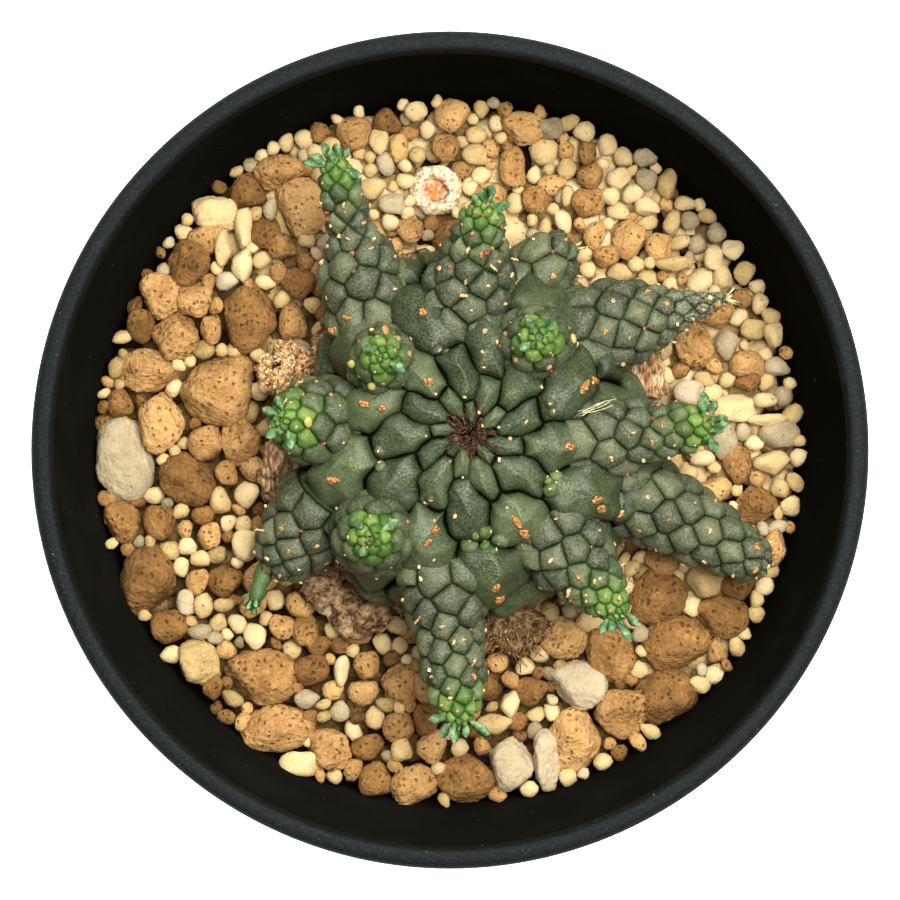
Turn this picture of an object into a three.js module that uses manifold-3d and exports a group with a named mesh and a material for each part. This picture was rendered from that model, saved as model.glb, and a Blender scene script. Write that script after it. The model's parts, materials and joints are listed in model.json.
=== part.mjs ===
// A potted Euphorbia gatbergensis: a dwarf medusoid succulent in a round black plastic pot.
// Lengths are in millimetres, +Z is up, and the origin is the middle of the pot's foot.
// Seen from above, +X is to the right and +Y is away from the viewer.

import * as THREE from 'three';
import { mergeVertices } from 'three/addons/utils/BufferGeometryUtils.js';
import Module from 'manifold-3d';

const wasm = await Module();
wasm.setup();

// The pot
const RIM_RADIUS = 52.5;
const RIM_WIDTH = 2.6;
const RIM_DEPTH = 4.2;
const RIM_ROUNDING = 1.2;
const POT_HEIGHT = 90;
const WALL = 1.5;
const FOOT_RADIUS = 37.5;
const FOOT_RING_WIDTH = 4;
const FOOT_RECESS = 2.5;
const DRAIN_RADIUS = 4;
const DRAIN_CIRCLE = 22;
const DRAIN_COUNT = 6;
const DRAIN_SIDES = 12;
const POT_SIDES = 40;

// The gap between two pieces that touch
const GAP = 0.3;

// The potting mix
const MIX_LEVEL = 66;
const MIX_CEILING = 76;
const GRAIN_SPACING = 6.2;
const GRAIN_SHAKE = 0.6;
const GRAIN_RISE = 2;
const GRAIN_SHOULDER = { inset: 0.3, height: 0.72 };
const LARGEST_GRAIN = { flatness: 0.9, showing: 0.35, roughness: 0.22 };
// The largest grains that the view from above shows: middle and half sizes along X and Y
const LARGEST_GRAINS = [
  [-42.4, -1.7, 3.4, 5.9],
  [-30.7, 7.5, 4.3, 4.3],
  [-26.8, 17.3, 3.9, 5.2],
  [-24.7, -29.8, 4.6, 3.6],
  [-22.6, -36.6, 4.7, 3.1],
  [17, -31, 3.9, 3.6],
  [30.1, -26, 5.2, 3.8],
  [28.4, -32.7, 4.1, 3.5],
];
// A curled ring of husk that lies among the grains
const HUSK = { at: [-1.8, 34, 67.4], radius: 2.4, thickness: 0.9 };

// The plant
const PLANT_X = 2.4;
const PLANT_Y = 2;
const GOLDEN_ANGLE = THREE.MathUtils.degToRad(137.508);
const TUBERCLE_RING = 0.6;
const HEAD_RADIUS = 23.5;
const HEAD_LEVEL = 78;
const HEAD_RISE = 13;
const HEAD_UNDERSIDE = 6;
const HEAD_SPIRAL = { turn: 32.4, rise: 0.0654, offset: -2.451, first: -8, last: 45 };
const HEAD_TUBERCLE = { groove: 0.9, ridge: 1.5, crown: 2.2 };
const HEAD_YOUNG = { size: 0.15, growth: 1.8 };
const APEX_DIP = { depth: 1.8, radius: 5 };
const TRUNK_RADIUS = 24.6;
const TRUNK_TOP = 74;
const TAP_ROOT_END = 22;

// Seeded random numbers, so that every build gives the same plant and the same grains
function seeded(seed) {
  let state = seed;
  return () => {
    state = (state + 0x6d2b79f5) | 0;
    let t = Math.imul(state ^ (state >>> 15), 1 | state);
    t = (t + Math.imul(t ^ (t >>> 7), 61 | t)) ^ t;
    return ((t ^ (t >>> 14)) >>> 0) / 4294967296;
  };
}

function toSolid(geometry) {
  const bare = geometry.clone();
  bare.deleteAttribute('normal');
  bare.deleteAttribute('uv');
  const merged = mergeVertices(bare, 1e-4);
  const vertProperties = Float32Array.from(merged.attributes.position.array);
  const triVerts = Uint32Array.from(merged.index.array);
  return new wasm.Manifold(new wasm.Mesh({ numProp: 3, vertProperties, triVerts }));
}

function toGeometry(solid) {
  const mesh = solid.getMesh();
  const geometry = new THREE.BufferGeometry();
  geometry.setAttribute('position', new THREE.BufferAttribute(Float32Array.from(mesh.vertProperties), 3));
  geometry.setIndex(new THREE.BufferAttribute(Uint32Array.from(mesh.triVerts), 1));
  geometry.computeVertexNormals();
  return geometry;
}

// Faces as lists of corner numbers, made into a solid whose faces point out
function solidOf(points, triangles) {
  const build = (list) => {
    const geometry = new THREE.BufferGeometry();
    const numbers = points.flatMap((point) => point.toArray());
    geometry.setAttribute('position', new THREE.Float32BufferAttribute(numbers, 3));
    geometry.setIndex(list.flat());
    return toSolid(geometry);
  };
  const solid = build(triangles);
  return solid.volume() > 0 ? solid : build(triangles.map(([a, b, c]) => [a, c, b]));
}

// Drops the loose scraps that a cut can leave, and keeps the body itself
function largestBody(solid) {
  const bodies = solid.decompose();
  return bodies.reduce((best, body) => (body.volume() > best.volume() ? body : best));
}

function node(name, solid, color, roughness) {
  const material = new THREE.MeshStandardMaterial({ color, roughness, metalness: 0, flatShading: true });
  const mesh = new THREE.Mesh(toGeometry(solid), material);
  mesh.name = name;
  return mesh;
}

// A lathe's faces point in or out with the way its profile runs, so both ways are tried
function latheSolid(profile, sides) {
  const geometry = new THREE.LatheGeometry(profile.map(([radius, z]) => new THREE.Vector2(radius, z)), sides);
  geometry.rotateX(Math.PI / 2);
  const position = geometry.attributes.position;
  const points = Array.from({ length: position.count }, (_, i) => {
    return new THREE.Vector3().fromBufferAttribute(position, i);
  });
  const index = [...geometry.index.array];
  const triangles = Array.from({ length: index.length / 3 }, (_, i) => index.slice(3 * i, 3 * i + 3));
  return solidOf(points, triangles);
}

// The pot: a tapered wall with a rolled rim, a foot ring and seven round drain holes
function potOuterRadius(z) {
  return THREE.MathUtils.mapLinear(z, 0, POT_HEIGHT, FOOT_RADIUS, RIM_RADIUS - 1);
}

function potInnerRadius(z) {
  return potOuterRadius(z) - WALL;
}

function makePot() {
  const collarBase = POT_HEIGHT - RIM_DEPTH;
  const rimInner = RIM_RADIUS - RIM_WIDTH;
  const basePlateTop = FOOT_RECESS + WALL;
  const half = RIM_ROUNDING / 2;
  let pot = latheSolid([
    [0, FOOT_RECESS],
    [FOOT_RADIUS - FOOT_RING_WIDTH - 1, FOOT_RECESS],
    [FOOT_RADIUS - FOOT_RING_WIDTH, 0],
    [FOOT_RADIUS - half, 0],
    [potOuterRadius(half), half],
    [potOuterRadius(collarBase), collarBase],
    [RIM_RADIUS - half / 2, collarBase],
    [RIM_RADIUS, collarBase + half],
    [RIM_RADIUS, POT_HEIGHT - RIM_ROUNDING],
    [RIM_RADIUS - half, POT_HEIGHT - half / 2],
    [RIM_RADIUS - RIM_ROUNDING, POT_HEIGHT],
    [rimInner + half, POT_HEIGHT],
    [rimInner, POT_HEIGHT - half],
    [potInnerRadius(collarBase), collarBase],
    [potInnerRadius(basePlateTop), basePlateTop],
    [0, basePlateTop],
  ], POT_SIDES);
  const drain = new THREE.CylinderGeometry(DRAIN_RADIUS, DRAIN_RADIUS, 4 * basePlateTop, DRAIN_SIDES);
  const middle = toSolid(drain.rotateX(Math.PI / 2));
  pot = pot.subtract(middle);
  for (let i = 0; i < DRAIN_COUNT; i += 1) {
    const angle = (i * 2 * Math.PI) / DRAIN_COUNT;
    pot = pot.subtract(middle.translate([DRAIN_CIRCLE * Math.cos(angle), DRAIN_CIRCLE * Math.sin(angle), 0]));
  }
  return pot;
}

// A skin of raised cells that share their corners, for tubercles and for packed grains
class CellSkin {
  constructor() {
    this.points = [];
    this.triangles = [];
    this.shared = new Map();
    this.edges = new Map();
  }

  addPoint(point) {
    return this.points.push(point) - 1;
  }

  // corners are { key, point }, and ring is a smaller outline on top of the cell
  addCell(corners, ring, middle) {
    const outline = corners.map(({ key, point }) => {
      if (!this.shared.has(key)) {
        this.shared.set(key, this.addPoint(point));
      }
      return this.shared.get(key);
    });
    const top = ring.map((point) => this.addPoint(point));
    const peak = this.addPoint(middle);
    outline.forEach((corner, i) => {
      const next = (i + 1) % outline.length;
      this.triangles.push([corner, outline[next], top[next]], [corner, top[next], top[i]]);
      this.triangles.push([top[i], top[next], peak]);
      this.edges.set(`${corner},${outline[next]}`, [corner, outline[next]]);
    });
  }

  // Each open rim is closed by a fan to the pole nearest to it
  close(poles) {
    const open = new Map();
    this.edges.forEach(([from, to]) => {
      if (!this.edges.has(`${to},${from}`)) {
        open.set(to, from);
      }
    });
    while (open.size > 0) {
      const rim = [];
      let at = open.keys().next().value;
      while (open.has(at)) {
        rim.push(at);
        const next = open.get(at);
        open.delete(at);
        at = next;
      }
      const sum = rim.reduce((total, i) => total.add(this.points[i]), new THREE.Vector3());
      const middle = sum.divideScalar(rim.length);
      const nearest = poles.reduce((best, p) => (p.distanceTo(middle) < best.distanceTo(middle) ? p : best));
      const pole = this.addPoint(nearest);
      rim.forEach((from, i) => this.triangles.push([from, rim[(i + 1) % rim.length], pole]));
    }
    return solidOf(this.points, this.triangles);
  }
}

// Tubercles in a golden-angle spiral.
// Cell n touches n±a, n±b and n±(a+b); a corner is the middle of three cells.
// surface(angle, w, lift) gives the point, where w is the length along the body over its radius.
function spiralBody({ surface, first, last, step, turn, rise, ridge, crown, poles }) {
  const [a, b] = step;
  const wrap = (angle) => Math.atan2(Math.sin(angle), Math.cos(angle));
  const way = (count) => new THREE.Vector2(wrap(-GOLDEN_ANGLE * count), rise * count);
  const va = way(a);
  const vb = way(b);
  const vc = way(a + b);
  const third = (p, q) => p.clone().add(q).divideScalar(3);
  const outline = [
    { kind: 'u', back: 0, at: third(va, vc) },
    { kind: 'd', back: 0, at: third(vb, vc) },
    { kind: 'u', back: a, at: third(va.clone().negate(), vb) },
    { kind: 'd', back: b, at: third(va, vb.clone().negate()) },
    { kind: 'u', back: a + b, at: third(vc.clone().negate(), vb.clone().negate()) },
    { kind: 'd', back: a + b, at: third(vc.clone().negate(), va.clone().negate()) },
  ].sort((p, q) => Math.atan2(p.at.y, p.at.x) - Math.atan2(q.at.y, q.at.x));
  const skin = new CellSkin();
  for (let n = first; n <= last; n += 1) {
    const angle = turn - GOLDEN_ANGLE * n;
    const w = rise * n;
    const corners = outline.map(({ kind, back, at }) => ({
      key: `${kind}${n - back}`,
      point: surface(angle + at.x, w + at.y, 0),
    }));
    const ring = outline.map(({ at }) => {
      return surface(angle + at.x * TUBERCLE_RING, w + at.y * TUBERCLE_RING, ridge);
    });
    skin.addCell(corners, ring, surface(angle, w, crown));
  }
  return skin.close(poles);
}

// The head: a flat dome whose tubercles grow outwards from a sunken growing point
function headSurface(angle, w, lift) {
  const fall = 2 * Math.atan(Math.exp(w + HEAD_SPIRAL.offset));
  const flat = HEAD_RADIUS * Math.sin(fall);
  const drop = fall < Math.PI / 2 ? HEAD_RISE : HEAD_UNDERSIDE;
  const dip = APEX_DIP.depth * Math.exp(-((flat / APEX_DIP.radius) ** 2));
  const normal = new THREE.Vector2((Math.sin(fall) * HEAD_RISE) / HEAD_RADIUS, Math.cos(fall)).normalize();
  const radius = flat + lift * normal.x;
  return new THREE.Vector3(
    PLANT_X + radius * Math.cos(angle),
    PLANT_Y + radius * Math.sin(angle),
    HEAD_LEVEL + drop * Math.cos(fall) - dip + lift * normal.y,
  );
}

function makeHead(grow) {
  // The youngest tubercles, round the growing point, are low
  const surface = (angle, w, lift) => {
    const size = Math.min(1, HEAD_YOUNG.size + HEAD_YOUNG.growth * Math.exp(w + HEAD_SPIRAL.offset));
    return headSurface(angle, w, grow + (lift - HEAD_TUBERCLE.groove) * size);
  };
  const growingPoint = HEAD_LEVEL + HEAD_RISE - APEX_DIP.depth - HEAD_TUBERCLE.groove;
  return spiralBody({
    surface,
    first: HEAD_SPIRAL.first,
    last: HEAD_SPIRAL.last,
    step: [5, 8],
    turn: THREE.MathUtils.degToRad(HEAD_SPIRAL.turn),
    rise: HEAD_SPIRAL.rise,
    ridge: HEAD_TUBERCLE.ridge,
    crown: HEAD_TUBERCLE.crown,
    poles: [
      new THREE.Vector3(PLANT_X, PLANT_Y, growingPoint + grow),
      new THREE.Vector3(PLANT_X, PLANT_Y, TRUNK_TOP + 1.5 * GAP - grow),
    ],
  });
}

// The trunk: a bark-covered barrel below the head that narrows to a tap root in the mix
const TRUNK_ROWS = [
  { z: TRUNK_TOP, radius: 18.5, bark: 0.3 },
  { z: 73.2, radius: 22.6, bark: 0.7 },
  { z: 71.4, radius: TRUNK_RADIUS, bark: 1 },
  { z: 68.8, radius: 24.1, bark: 1 },
  { z: 66.2, radius: 22.4, bark: 0.5 },
  { z: 62.5, radius: 20.2, bark: 0 },
  { z: 56, radius: 16.5, bark: 0 },
  { z: 48, radius: 11.5, bark: 0 },
  { z: 39, radius: 6.8, bark: 0 },
  { z: 30, radius: 3.8, bark: 0 },
];
const TRUNK_SIDES = 24;
const BARK_DEPTH = 1.6;
const HOLE_MOUTH = 72;

// Corky lumps and root hair that stand out from the trunk near the grains
const TRUNK_LUMPS = [
  { at: [-16.9, -17.9, 71], size: [3.3, 2.8, 2.6] },
  { at: [-11.6, -21.2, 70.6], size: [4, 3.4, 3] },
  { at: [-2.4, -25, 69.6], size: [4.4, 2, 1.8] },
  { at: [8.2, -22.6, 70.2], size: [4.6, 3.2, 2.4] },
  { at: [25.6, 10, 71.6], size: [2.4, 4.2, 3] },
  { at: [-22.6, -3.2, 71.4], size: [2.2, 4.4, 3.2] },
];
const LUMP_ROUGHNESS = 0.35;
const STUMP = { foot: [-17.5, 8.8, 70.4], top: [-22.2, 10.8, 76.6], radius: 3.7, sides: 9, roughness: 0.2 };
const STUMP_HOLLOW = { radius: 1.85, depth: 2, sides: 7 };

// Ridged bark as a sum of waves round the trunk, which lean as they climb
function barkAt(angle, z) {
  const waves = [
    { count: 5, height: 0.75, lean: 0.5 },
    { count: 9, height: 0.5, lean: -1.3 },
    { count: 14, height: 0.35, lean: 1 },
  ];
  return waves.reduce((sum, { count, height, lean }) => sum + height * Math.sin(count * angle + lean * z), 0);
}

function trunkRing({ z, radius, bark }, grow) {
  return Array.from({ length: TRUNK_SIDES }, (_, i) => {
    const angle = (i * 2 * Math.PI) / TRUNK_SIDES;
    const out = radius + bark * barkAt(angle, z) + grow;
    return new THREE.Vector3(PLANT_X + out * Math.cos(angle), PLANT_Y + out * Math.sin(angle), z);
  });
}

// A closed body from rings of corners, the first on top
function ringedBody(rings, top, end) {
  const sides = rings[0].length;
  const points = [...rings.flat(), top, end];
  const [topIndex, endIndex] = [points.length - 2, points.length - 1];
  const lowest = (rings.length - 1) * sides;
  const triangles = [];
  for (let i = 0; i < sides; i += 1) {
    const next = (i + 1) % sides;
    for (let row = 0; row < lowest; row += sides) {
      const [a, b] = [row + i, row + next];
      triangles.push([a, a + sides, b], [b, a + sides, b + sides]);
    }
    triangles.push([topIndex, i, next], [endIndex, lowest + next, lowest + i]);
  }
  return solidOf(points, triangles);
}

// A stone, or a corky lump: a ball with its corners shaken in and out
function roughStone(random, size, roughness) {
  const ball = new THREE.IcosahedronGeometry(1, 1);
  ball.deleteAttribute('normal');
  ball.deleteAttribute('uv');
  const stone = mergeVertices(ball, 1e-4);
  const position = stone.attributes.position;
  for (let i = 0; i < position.count; i += 1) {
    const swell = 1 + roughness * (random() - 0.5);
    position.setXYZ(i, position.getX(i) * swell, position.getY(i) * swell, position.getZ(i) * swell);
  }
  stone.rotateX(random() * Math.PI);
  stone.rotateY(random() * Math.PI);
  return stone.scale(...size);
}

function makeLumps(grow) {
  const random = seeded(11);
  return TRUNK_LUMPS.map(({ at, size }) => {
    const lump = roughStone(random, size.map((half) => half + grow), LUMP_ROUGHNESS);
    return toSolid(lump.translate(...at));
  });
}

// The stump: a broken dry stem, with a hollow end unless it is grown to cut a room for itself
function makeStump(grow) {
  const foot = new THREE.Vector3(...STUMP.foot);
  const top = new THREE.Vector3(...STUMP.top);
  const length = foot.distanceTo(top);
  const axis = top.clone().sub(foot).normalize();
  const turned = new THREE.Quaternion().setFromUnitVectors(new THREE.Vector3(0, 1, 0), axis);
  const place = (geometry, along) => {
    geometry.translate(0, along, 0);
    geometry.applyQuaternion(turned);
    return toSolid(geometry.translate(...STUMP.foot));
  };
  const radius = STUMP.radius + grow;
  const stem = new THREE.CylinderGeometry(radius, radius, length + grow, STUMP.sides, 2);
  stem.deleteAttribute('normal');
  stem.deleteAttribute('uv');
  const rough = mergeVertices(stem, 1e-4);
  const random = seeded(5);
  const position = rough.attributes.position;
  for (let i = 0; i < position.count; i += 1) {
    const swell = 1 + STUMP.roughness * (random() - 0.5);
    const climb = STUMP.roughness * STUMP.radius * (random() - 0.5);
    position.setXYZ(i, position.getX(i) * swell, position.getY(i) + climb, position.getZ(i) * swell);
  }
  const solid = place(rough, (length + grow) / 2);
  if (grow > 0) {
    return solid;
  }
  const hollow = new THREE.ConeGeometry(STUMP_HOLLOW.radius, 2 * STUMP_HOLLOW.depth, STUMP_HOLLOW.sides);
  return solid.subtract(place(hollow.rotateX(Math.PI), length));
}

function makeTrunk(grow) {
  const rings = TRUNK_ROWS.map((row) => trunkRing(row, grow));
  const top = new THREE.Vector3(PLANT_X, PLANT_Y, TRUNK_TOP);
  const end = new THREE.Vector3(PLANT_X, PLANT_Y, TAP_ROOT_END - grow);
  const barrel = ringedBody(rings, top, end);
  return [...makeLumps(grow), makeStump(grow)].reduce((body, part) => body.add(part), barrel);
}

// The plain hole that the trunk stands in, wide enough for its bark
function makeHole() {
  const sunk = TRUNK_ROWS.filter(({ z }) => z < HOLE_MOUTH);
  const rows = [{ ...sunk[0], z: MIX_CEILING + 1 }, ...sunk];
  const rings = rows.map(({ z, radius, bark }) => {
    return trunkRing({ z, radius: radius + bark * BARK_DEPTH, bark: 0 }, GAP);
  });
  const top = new THREE.Vector3(PLANT_X, PLANT_Y, MIX_CEILING + 1);
  const end = new THREE.Vector3(PLANT_X, PLANT_Y, TAP_ROOT_END - GAP);
  return ringedBody(rings, top, end);
}

// The branches: where each leaves the head, where it ends, and its radii from tip to base
const BRANCHES = [
  {
    name: 'back_left', base: [-10.1, 17.6, 81.2], tip: [-14.8, 36.9, 87], arch: 1.2,
    radii: [1.4, 2.3, 2.5, 2.7, 4.6, 5.4, 5.4], leafy: true, turn: 20,
  },
  {
    name: 'back', base: [1.8, 17, 84], tip: [4.5, 31.2, 92], arch: 1.2,
    radii: [1.4, 2.6, 3.5, 4.6, 5.5, 5.6], leafy: true, turn: 75,
  },
  {
    name: 'back_stub', base: [8.2, 20.4, 79], tip: [15.3, 26.6, 79.6], arch: 0,
    radii: [2.8, 3.4, 3.6, 3.7], leafy: false, turn: 140,
  },
  {
    name: 'right_back', base: [17.6, 15.2, 80.4], tip: [35.4, 19.3, 82], arch: 0.5,
    radii: [0.9, 1.5, 2.4, 3.8, 5, 5.5, 5.5], leafy: false, turn: 10,
  },
  {
    name: 'right', base: [17, 1.4, 84.6], tip: [33.4, 3.1, 88.6], arch: 1,
    radii: [1.4, 2.6, 3, 3.4, 4.2, 4.8, 4.8], leafy: true, turn: 50,
  },
  {
    name: 'front_right', base: [22.4, -4.9, 77.6], tip: [40.8, -15, 78.4], arch: 0.8,
    radii: [2.3, 3.3, 4.1, 4.7, 5.2, 5.3], leafy: false, turn: 95,
  },
  {
    name: 'front_right_short', base: [13.4, -10.8, 83.4], tip: [21.6, -21, 88], arch: 0.8,
    radii: [1.4, 2.8, 4.1, 5.2, 5.6], leafy: true, turn: 130,
  },
  {
    name: 'front', base: [-0.9, -16.2, 82.4], tip: [1.3, -34.9, 86.4], arch: 1,
    radii: [1.4, 2.9, 3.6, 3.8, 4.1, 5.2, 5.6], leafy: true, turn: 165,
  },
  {
    name: 'front_left', base: [-16.6, -7.6, 79.6], tip: [-23.2, -16, 77.6], arch: 0.4,
    radii: [2.8, 4.4, 5.2, 5.6], leafy: false, turn: 40,
  },
  {
    name: 'left', base: [-15.4, 3.5, 83.4], tip: [-21.2, 3.7, 91.6], arch: 0.6,
    radii: [1.4, 3.2, 4.6, 5.5, 5.6], leafy: true, turn: 85,
  },
  {
    name: 'upright_front_left', base: [-9.6, -10.2, 83.6], tip: [-9.7, -11, 95.6], arch: 0.3,
    radii: [1.5, 3.2, 4.5, 5.2, 5.3], leafy: true, turn: 120,
  },
  {
    name: 'upright_back_left', base: [-8.3, 11, 84.6], tip: [-8.6, 11.7, 96], arch: 0.3,
    radii: [1.4, 2.8, 3.8, 4.3, 4.3], leafy: true, turn: 0,
  },
  {
    name: 'upright_back_right', base: [10.6, 13.3, 84.4], tip: [11, 14, 96.6], arch: 0.3,
    radii: [1.4, 3, 4.1, 4.7, 4.7], leafy: true, turn: 60,
  },
];
const BRANCH_RISE = 0.2;
const BRANCH_TUBERCLE = { share: 0.1, groove: 1.4, ridge: 1.4, crown: 2 };
const BASE_DEPTH = 3;
const ROUND_END_START = 0.3;
const LEAFY_LENGTH = 3;
const TIP_CORE = { sides: 8, places: [0.12, 0.4, 1], girth: 0.95 };
const LEAF = { count: 6, length: 2.3, width: 1.1, thickness: 0.8, widest: 0.65 };
const LEAF_PLACES = { first: 0.5, step: 0.36, lean: 0.3, leanStep: 0.14 };
const STALK = { every: 8, radius: 0.45, length: 1.3, sunk: 0.5, reach: 0.8 };
const SIDE_SHOOT = { foot: [-23.9, -15.6, 77.4], end: [-25.3, -20, 77.8], radius: 1.2, endRadius: 0.9 };
const SIDE_SHOOT_LEAF_LEANS = [-0.5, 0.1, 0.6];

// The middle line of a branch and its radius, both by the distance from the tip
function branchLine({ base, tip, arch, radii }) {
  const start = new THREE.Vector3(...tip);
  const end = new THREE.Vector3(...base);
  const middle = start.clone().add(end).multiplyScalar(0.5);
  middle.z -= arch * 2;
  const curve = new THREE.QuadraticBezierCurve3(start, middle, end);
  const length = curve.getLength();
  const isUpright = Math.abs(end.z - start.z) > length * Math.SQRT1_2;
  const side = isUpright ? new THREE.Vector3(1, 0, 0) : new THREE.Vector3(0, 0, 1);
  const radiusCurve = new THREE.SplineCurve(radii.map((radius, i) => new THREE.Vector2(i, radius)));
  const [endRadius] = radii;
  const radiusAt = (distance) => {
    const along = THREE.MathUtils.clamp(distance / length, 0, 1);
    const roundEnd = Math.min(1, distance / endRadius);
    return radiusCurve.getPoint(along).y * Math.sqrt(1 - (1 - roundEnd) ** 2);
  };
  const frameAt = (distance) => {
    const along = THREE.MathUtils.clamp(distance / length, 0, 1);
    const tipward = curve.getTangentAt(along).negate();
    const point = curve.getPointAt(along).addScaledVector(tipward, -Math.max(0, distance - length));
    const across = side.clone().cross(tipward).normalize();
    const up = tipward.clone().cross(across);
    return { point, tipward, across, up };
  };
  return { length, radiusAt, frameAt, endRadius };
}

// The spiral coordinate w of a branch, tabled against the distance from the tip
function branchScale({ length, radiusAt, endRadius }) {
  const stepLength = 0.1;
  const table = [{ w: 0, distance: ROUND_END_START * endRadius }];
  while (table.at(-1).distance < length + BASE_DEPTH) {
    const { w, distance } = table.at(-1);
    const next = distance + stepLength;
    const slant = Math.hypot(stepLength, radiusAt(next) - radiusAt(distance));
    table.push({ w: w + slant / radiusAt((distance + next) / 2), distance: next });
  }
  const distanceAt = (w) => {
    if (w <= 0) {
      return table[0].distance * Math.exp(2 * w);
    }
    const found = table.findIndex((entry) => entry.w > w);
    const after = found < 0 ? table.length - 1 : Math.max(1, found);
    const [from, to] = [table[after - 1], table[after]];
    return THREE.MathUtils.mapLinear(w, from.w, to.w, from.distance, to.distance);
  };
  const wAt = (goal) => table.find((entry) => entry.distance >= goal).w;
  return { distanceAt, wAt };
}

function branchSurface(line, scale, grow) {
  const nearby = 0.05;
  return (angle, w, lift) => {
    const distance = scale.distanceAt(w);
    const radius = line.radiusAt(distance);
    const { point, tipward, across, up } = line.frameAt(distance);
    const growth = line.radiusAt(distance + nearby) - line.radiusAt(Math.max(0, distance - nearby));
    const out = across.multiplyScalar(Math.cos(angle)).addScaledVector(up, Math.sin(angle));
    const normal = out.clone().addScaledVector(tipward, growth / (2 * nearby)).normalize();
    const raised = grow + radius * BRANCH_TUBERCLE.share * (lift - BRANCH_TUBERCLE.groove);
    return point.addScaledVector(out, radius).addScaledVector(normal, raised);
  };
}

function makeBranch(branch, line, scale, grow) {
  const tip = line.frameAt(0);
  return spiralBody({
    surface: branchSurface(line, scale, grow),
    first: 0,
    last: Math.floor(scale.wAt(line.length) / BRANCH_RISE) - 2,
    step: [2, 3],
    turn: THREE.MathUtils.degToRad(branch.turn),
    rise: BRANCH_RISE,
    ridge: BRANCH_TUBERCLE.ridge,
    crown: BRANCH_TUBERCLE.crown,
    poles: [tip.point.addScaledVector(tip.tipward, grow), line.frameAt(line.length + BASE_DEPTH).point],
  });
}

// A box that holds everything on the tip side of a branch, from a distance along it
function tipSide(line, distance) {
  const reach = 30;
  const { point, tipward } = line.frameAt(distance);
  const box = new THREE.BoxGeometry(reach, reach, reach);
  box.translate(0, 0, reach / 2);
  box.applyQuaternion(new THREE.Quaternion().setFromUnitVectors(new THREE.Vector3(0, 0, 1), tipward));
  return toSolid(box.translate(...point.toArray()));
}

// The soft core of a growing tip, which its leaves stand out of
function makeTipCore(line) {
  const rings = TIP_CORE.places.map((share) => {
    const distance = share * (LEAFY_LENGTH - GAP / 2);
    const { point, across, up } = line.frameAt(distance);
    const radius = line.radiusAt(distance) * TIP_CORE.girth;
    return Array.from({ length: TIP_CORE.sides }, (_, i) => {
      const angle = (i * 2 * Math.PI) / TIP_CORE.sides;
      const out = across.clone().multiplyScalar(Math.cos(angle)).addScaledVector(up, Math.sin(angle));
      return point.clone().addScaledVector(out, radius);
    });
  });
  return ringedBody(rings, line.frameAt(0).point, line.frameAt(LEAFY_LENGTH - GAP / 2).point);
}

// A spoon-shaped leaf, thickest along its middle
function leafSolid(foot, along) {
  const half = LEAF.width / 2;
  const widest = LEAF.length * LEAF.widest;
  const outline = [
    [0, 0],
    [half, widest],
    [0, LEAF.length],
    [-half, widest],
  ].map(([x, z]) => new THREE.Vector3(x, 0, z));
  const upper = new THREE.Vector3(0, LEAF.thickness / 2, widest);
  const lower = new THREE.Vector3(0, -LEAF.thickness / 2, widest);
  const turned = new THREE.Quaternion().setFromUnitVectors(new THREE.Vector3(0, 0, 1), along);
  const points = [...outline, upper, lower].map((point) => point.applyQuaternion(turned).add(foot));
  const [upperIndex, lowerIndex] = [outline.length, outline.length + 1];
  const triangles = [];
  outline.forEach((corner, i) => {
    const next = (i + 1) % outline.length;
    triangles.push([i, next, upperIndex], [next, i, lowerIndex]);
  });
  return solidOf(points, triangles);
}

// The rosette of tiny leaves round a growing tip
function leavesOf(branch, line) {
  return Array.from({ length: LEAF.count }, (_, n) => {
    const angle = THREE.MathUtils.degToRad(branch.turn) - GOLDEN_ANGLE * n;
    const distance = LEAF_PLACES.first + LEAF_PLACES.step * n;
    const { point, tipward, across, up } = line.frameAt(distance);
    const out = across.multiplyScalar(Math.cos(angle)).addScaledVector(up, Math.sin(angle));
    const lean = LEAF_PLACES.lean + LEAF_PLACES.leanStep * n;
    const along = tipward.multiplyScalar(Math.cos(lean)).addScaledVector(out, Math.sin(lean));
    return leafSolid(point.addScaledVector(out, line.radiusAt(distance) / 2), along);
  });
}

// Dried flower stalks, each from the middle of a tubercle
function stalksOf(branch, line, scale) {
  const surface = branchSurface(line, scale, 0);
  const first = STALK.every - 1 + (branch.turn % 3);
  const last = Math.floor(scale.wAt(line.length * STALK.reach) / BRANCH_RISE);
  const stalks = [];
  for (let n = first; n <= last; n += STALK.every) {
    const angle = THREE.MathUtils.degToRad(branch.turn) - GOLDEN_ANGLE * n;
    const crown = surface(angle, BRANCH_RISE * n, BRANCH_TUBERCLE.crown);
    const outward = crown.clone().sub(surface(angle, BRANCH_RISE * n, 0)).normalize();
    const stalk = new THREE.CylinderGeometry(STALK.radius, STALK.radius, STALK.length + STALK.sunk, 3);
    stalk.translate(0, (STALK.length - STALK.sunk) / 2, 0);
    stalk.applyQuaternion(new THREE.Quaternion().setFromUnitVectors(new THREE.Vector3(0, 1, 0), outward));
    stalks.push(toSolid(stalk.translate(...crown.toArray())));
  }
  return stalks;
}

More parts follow.
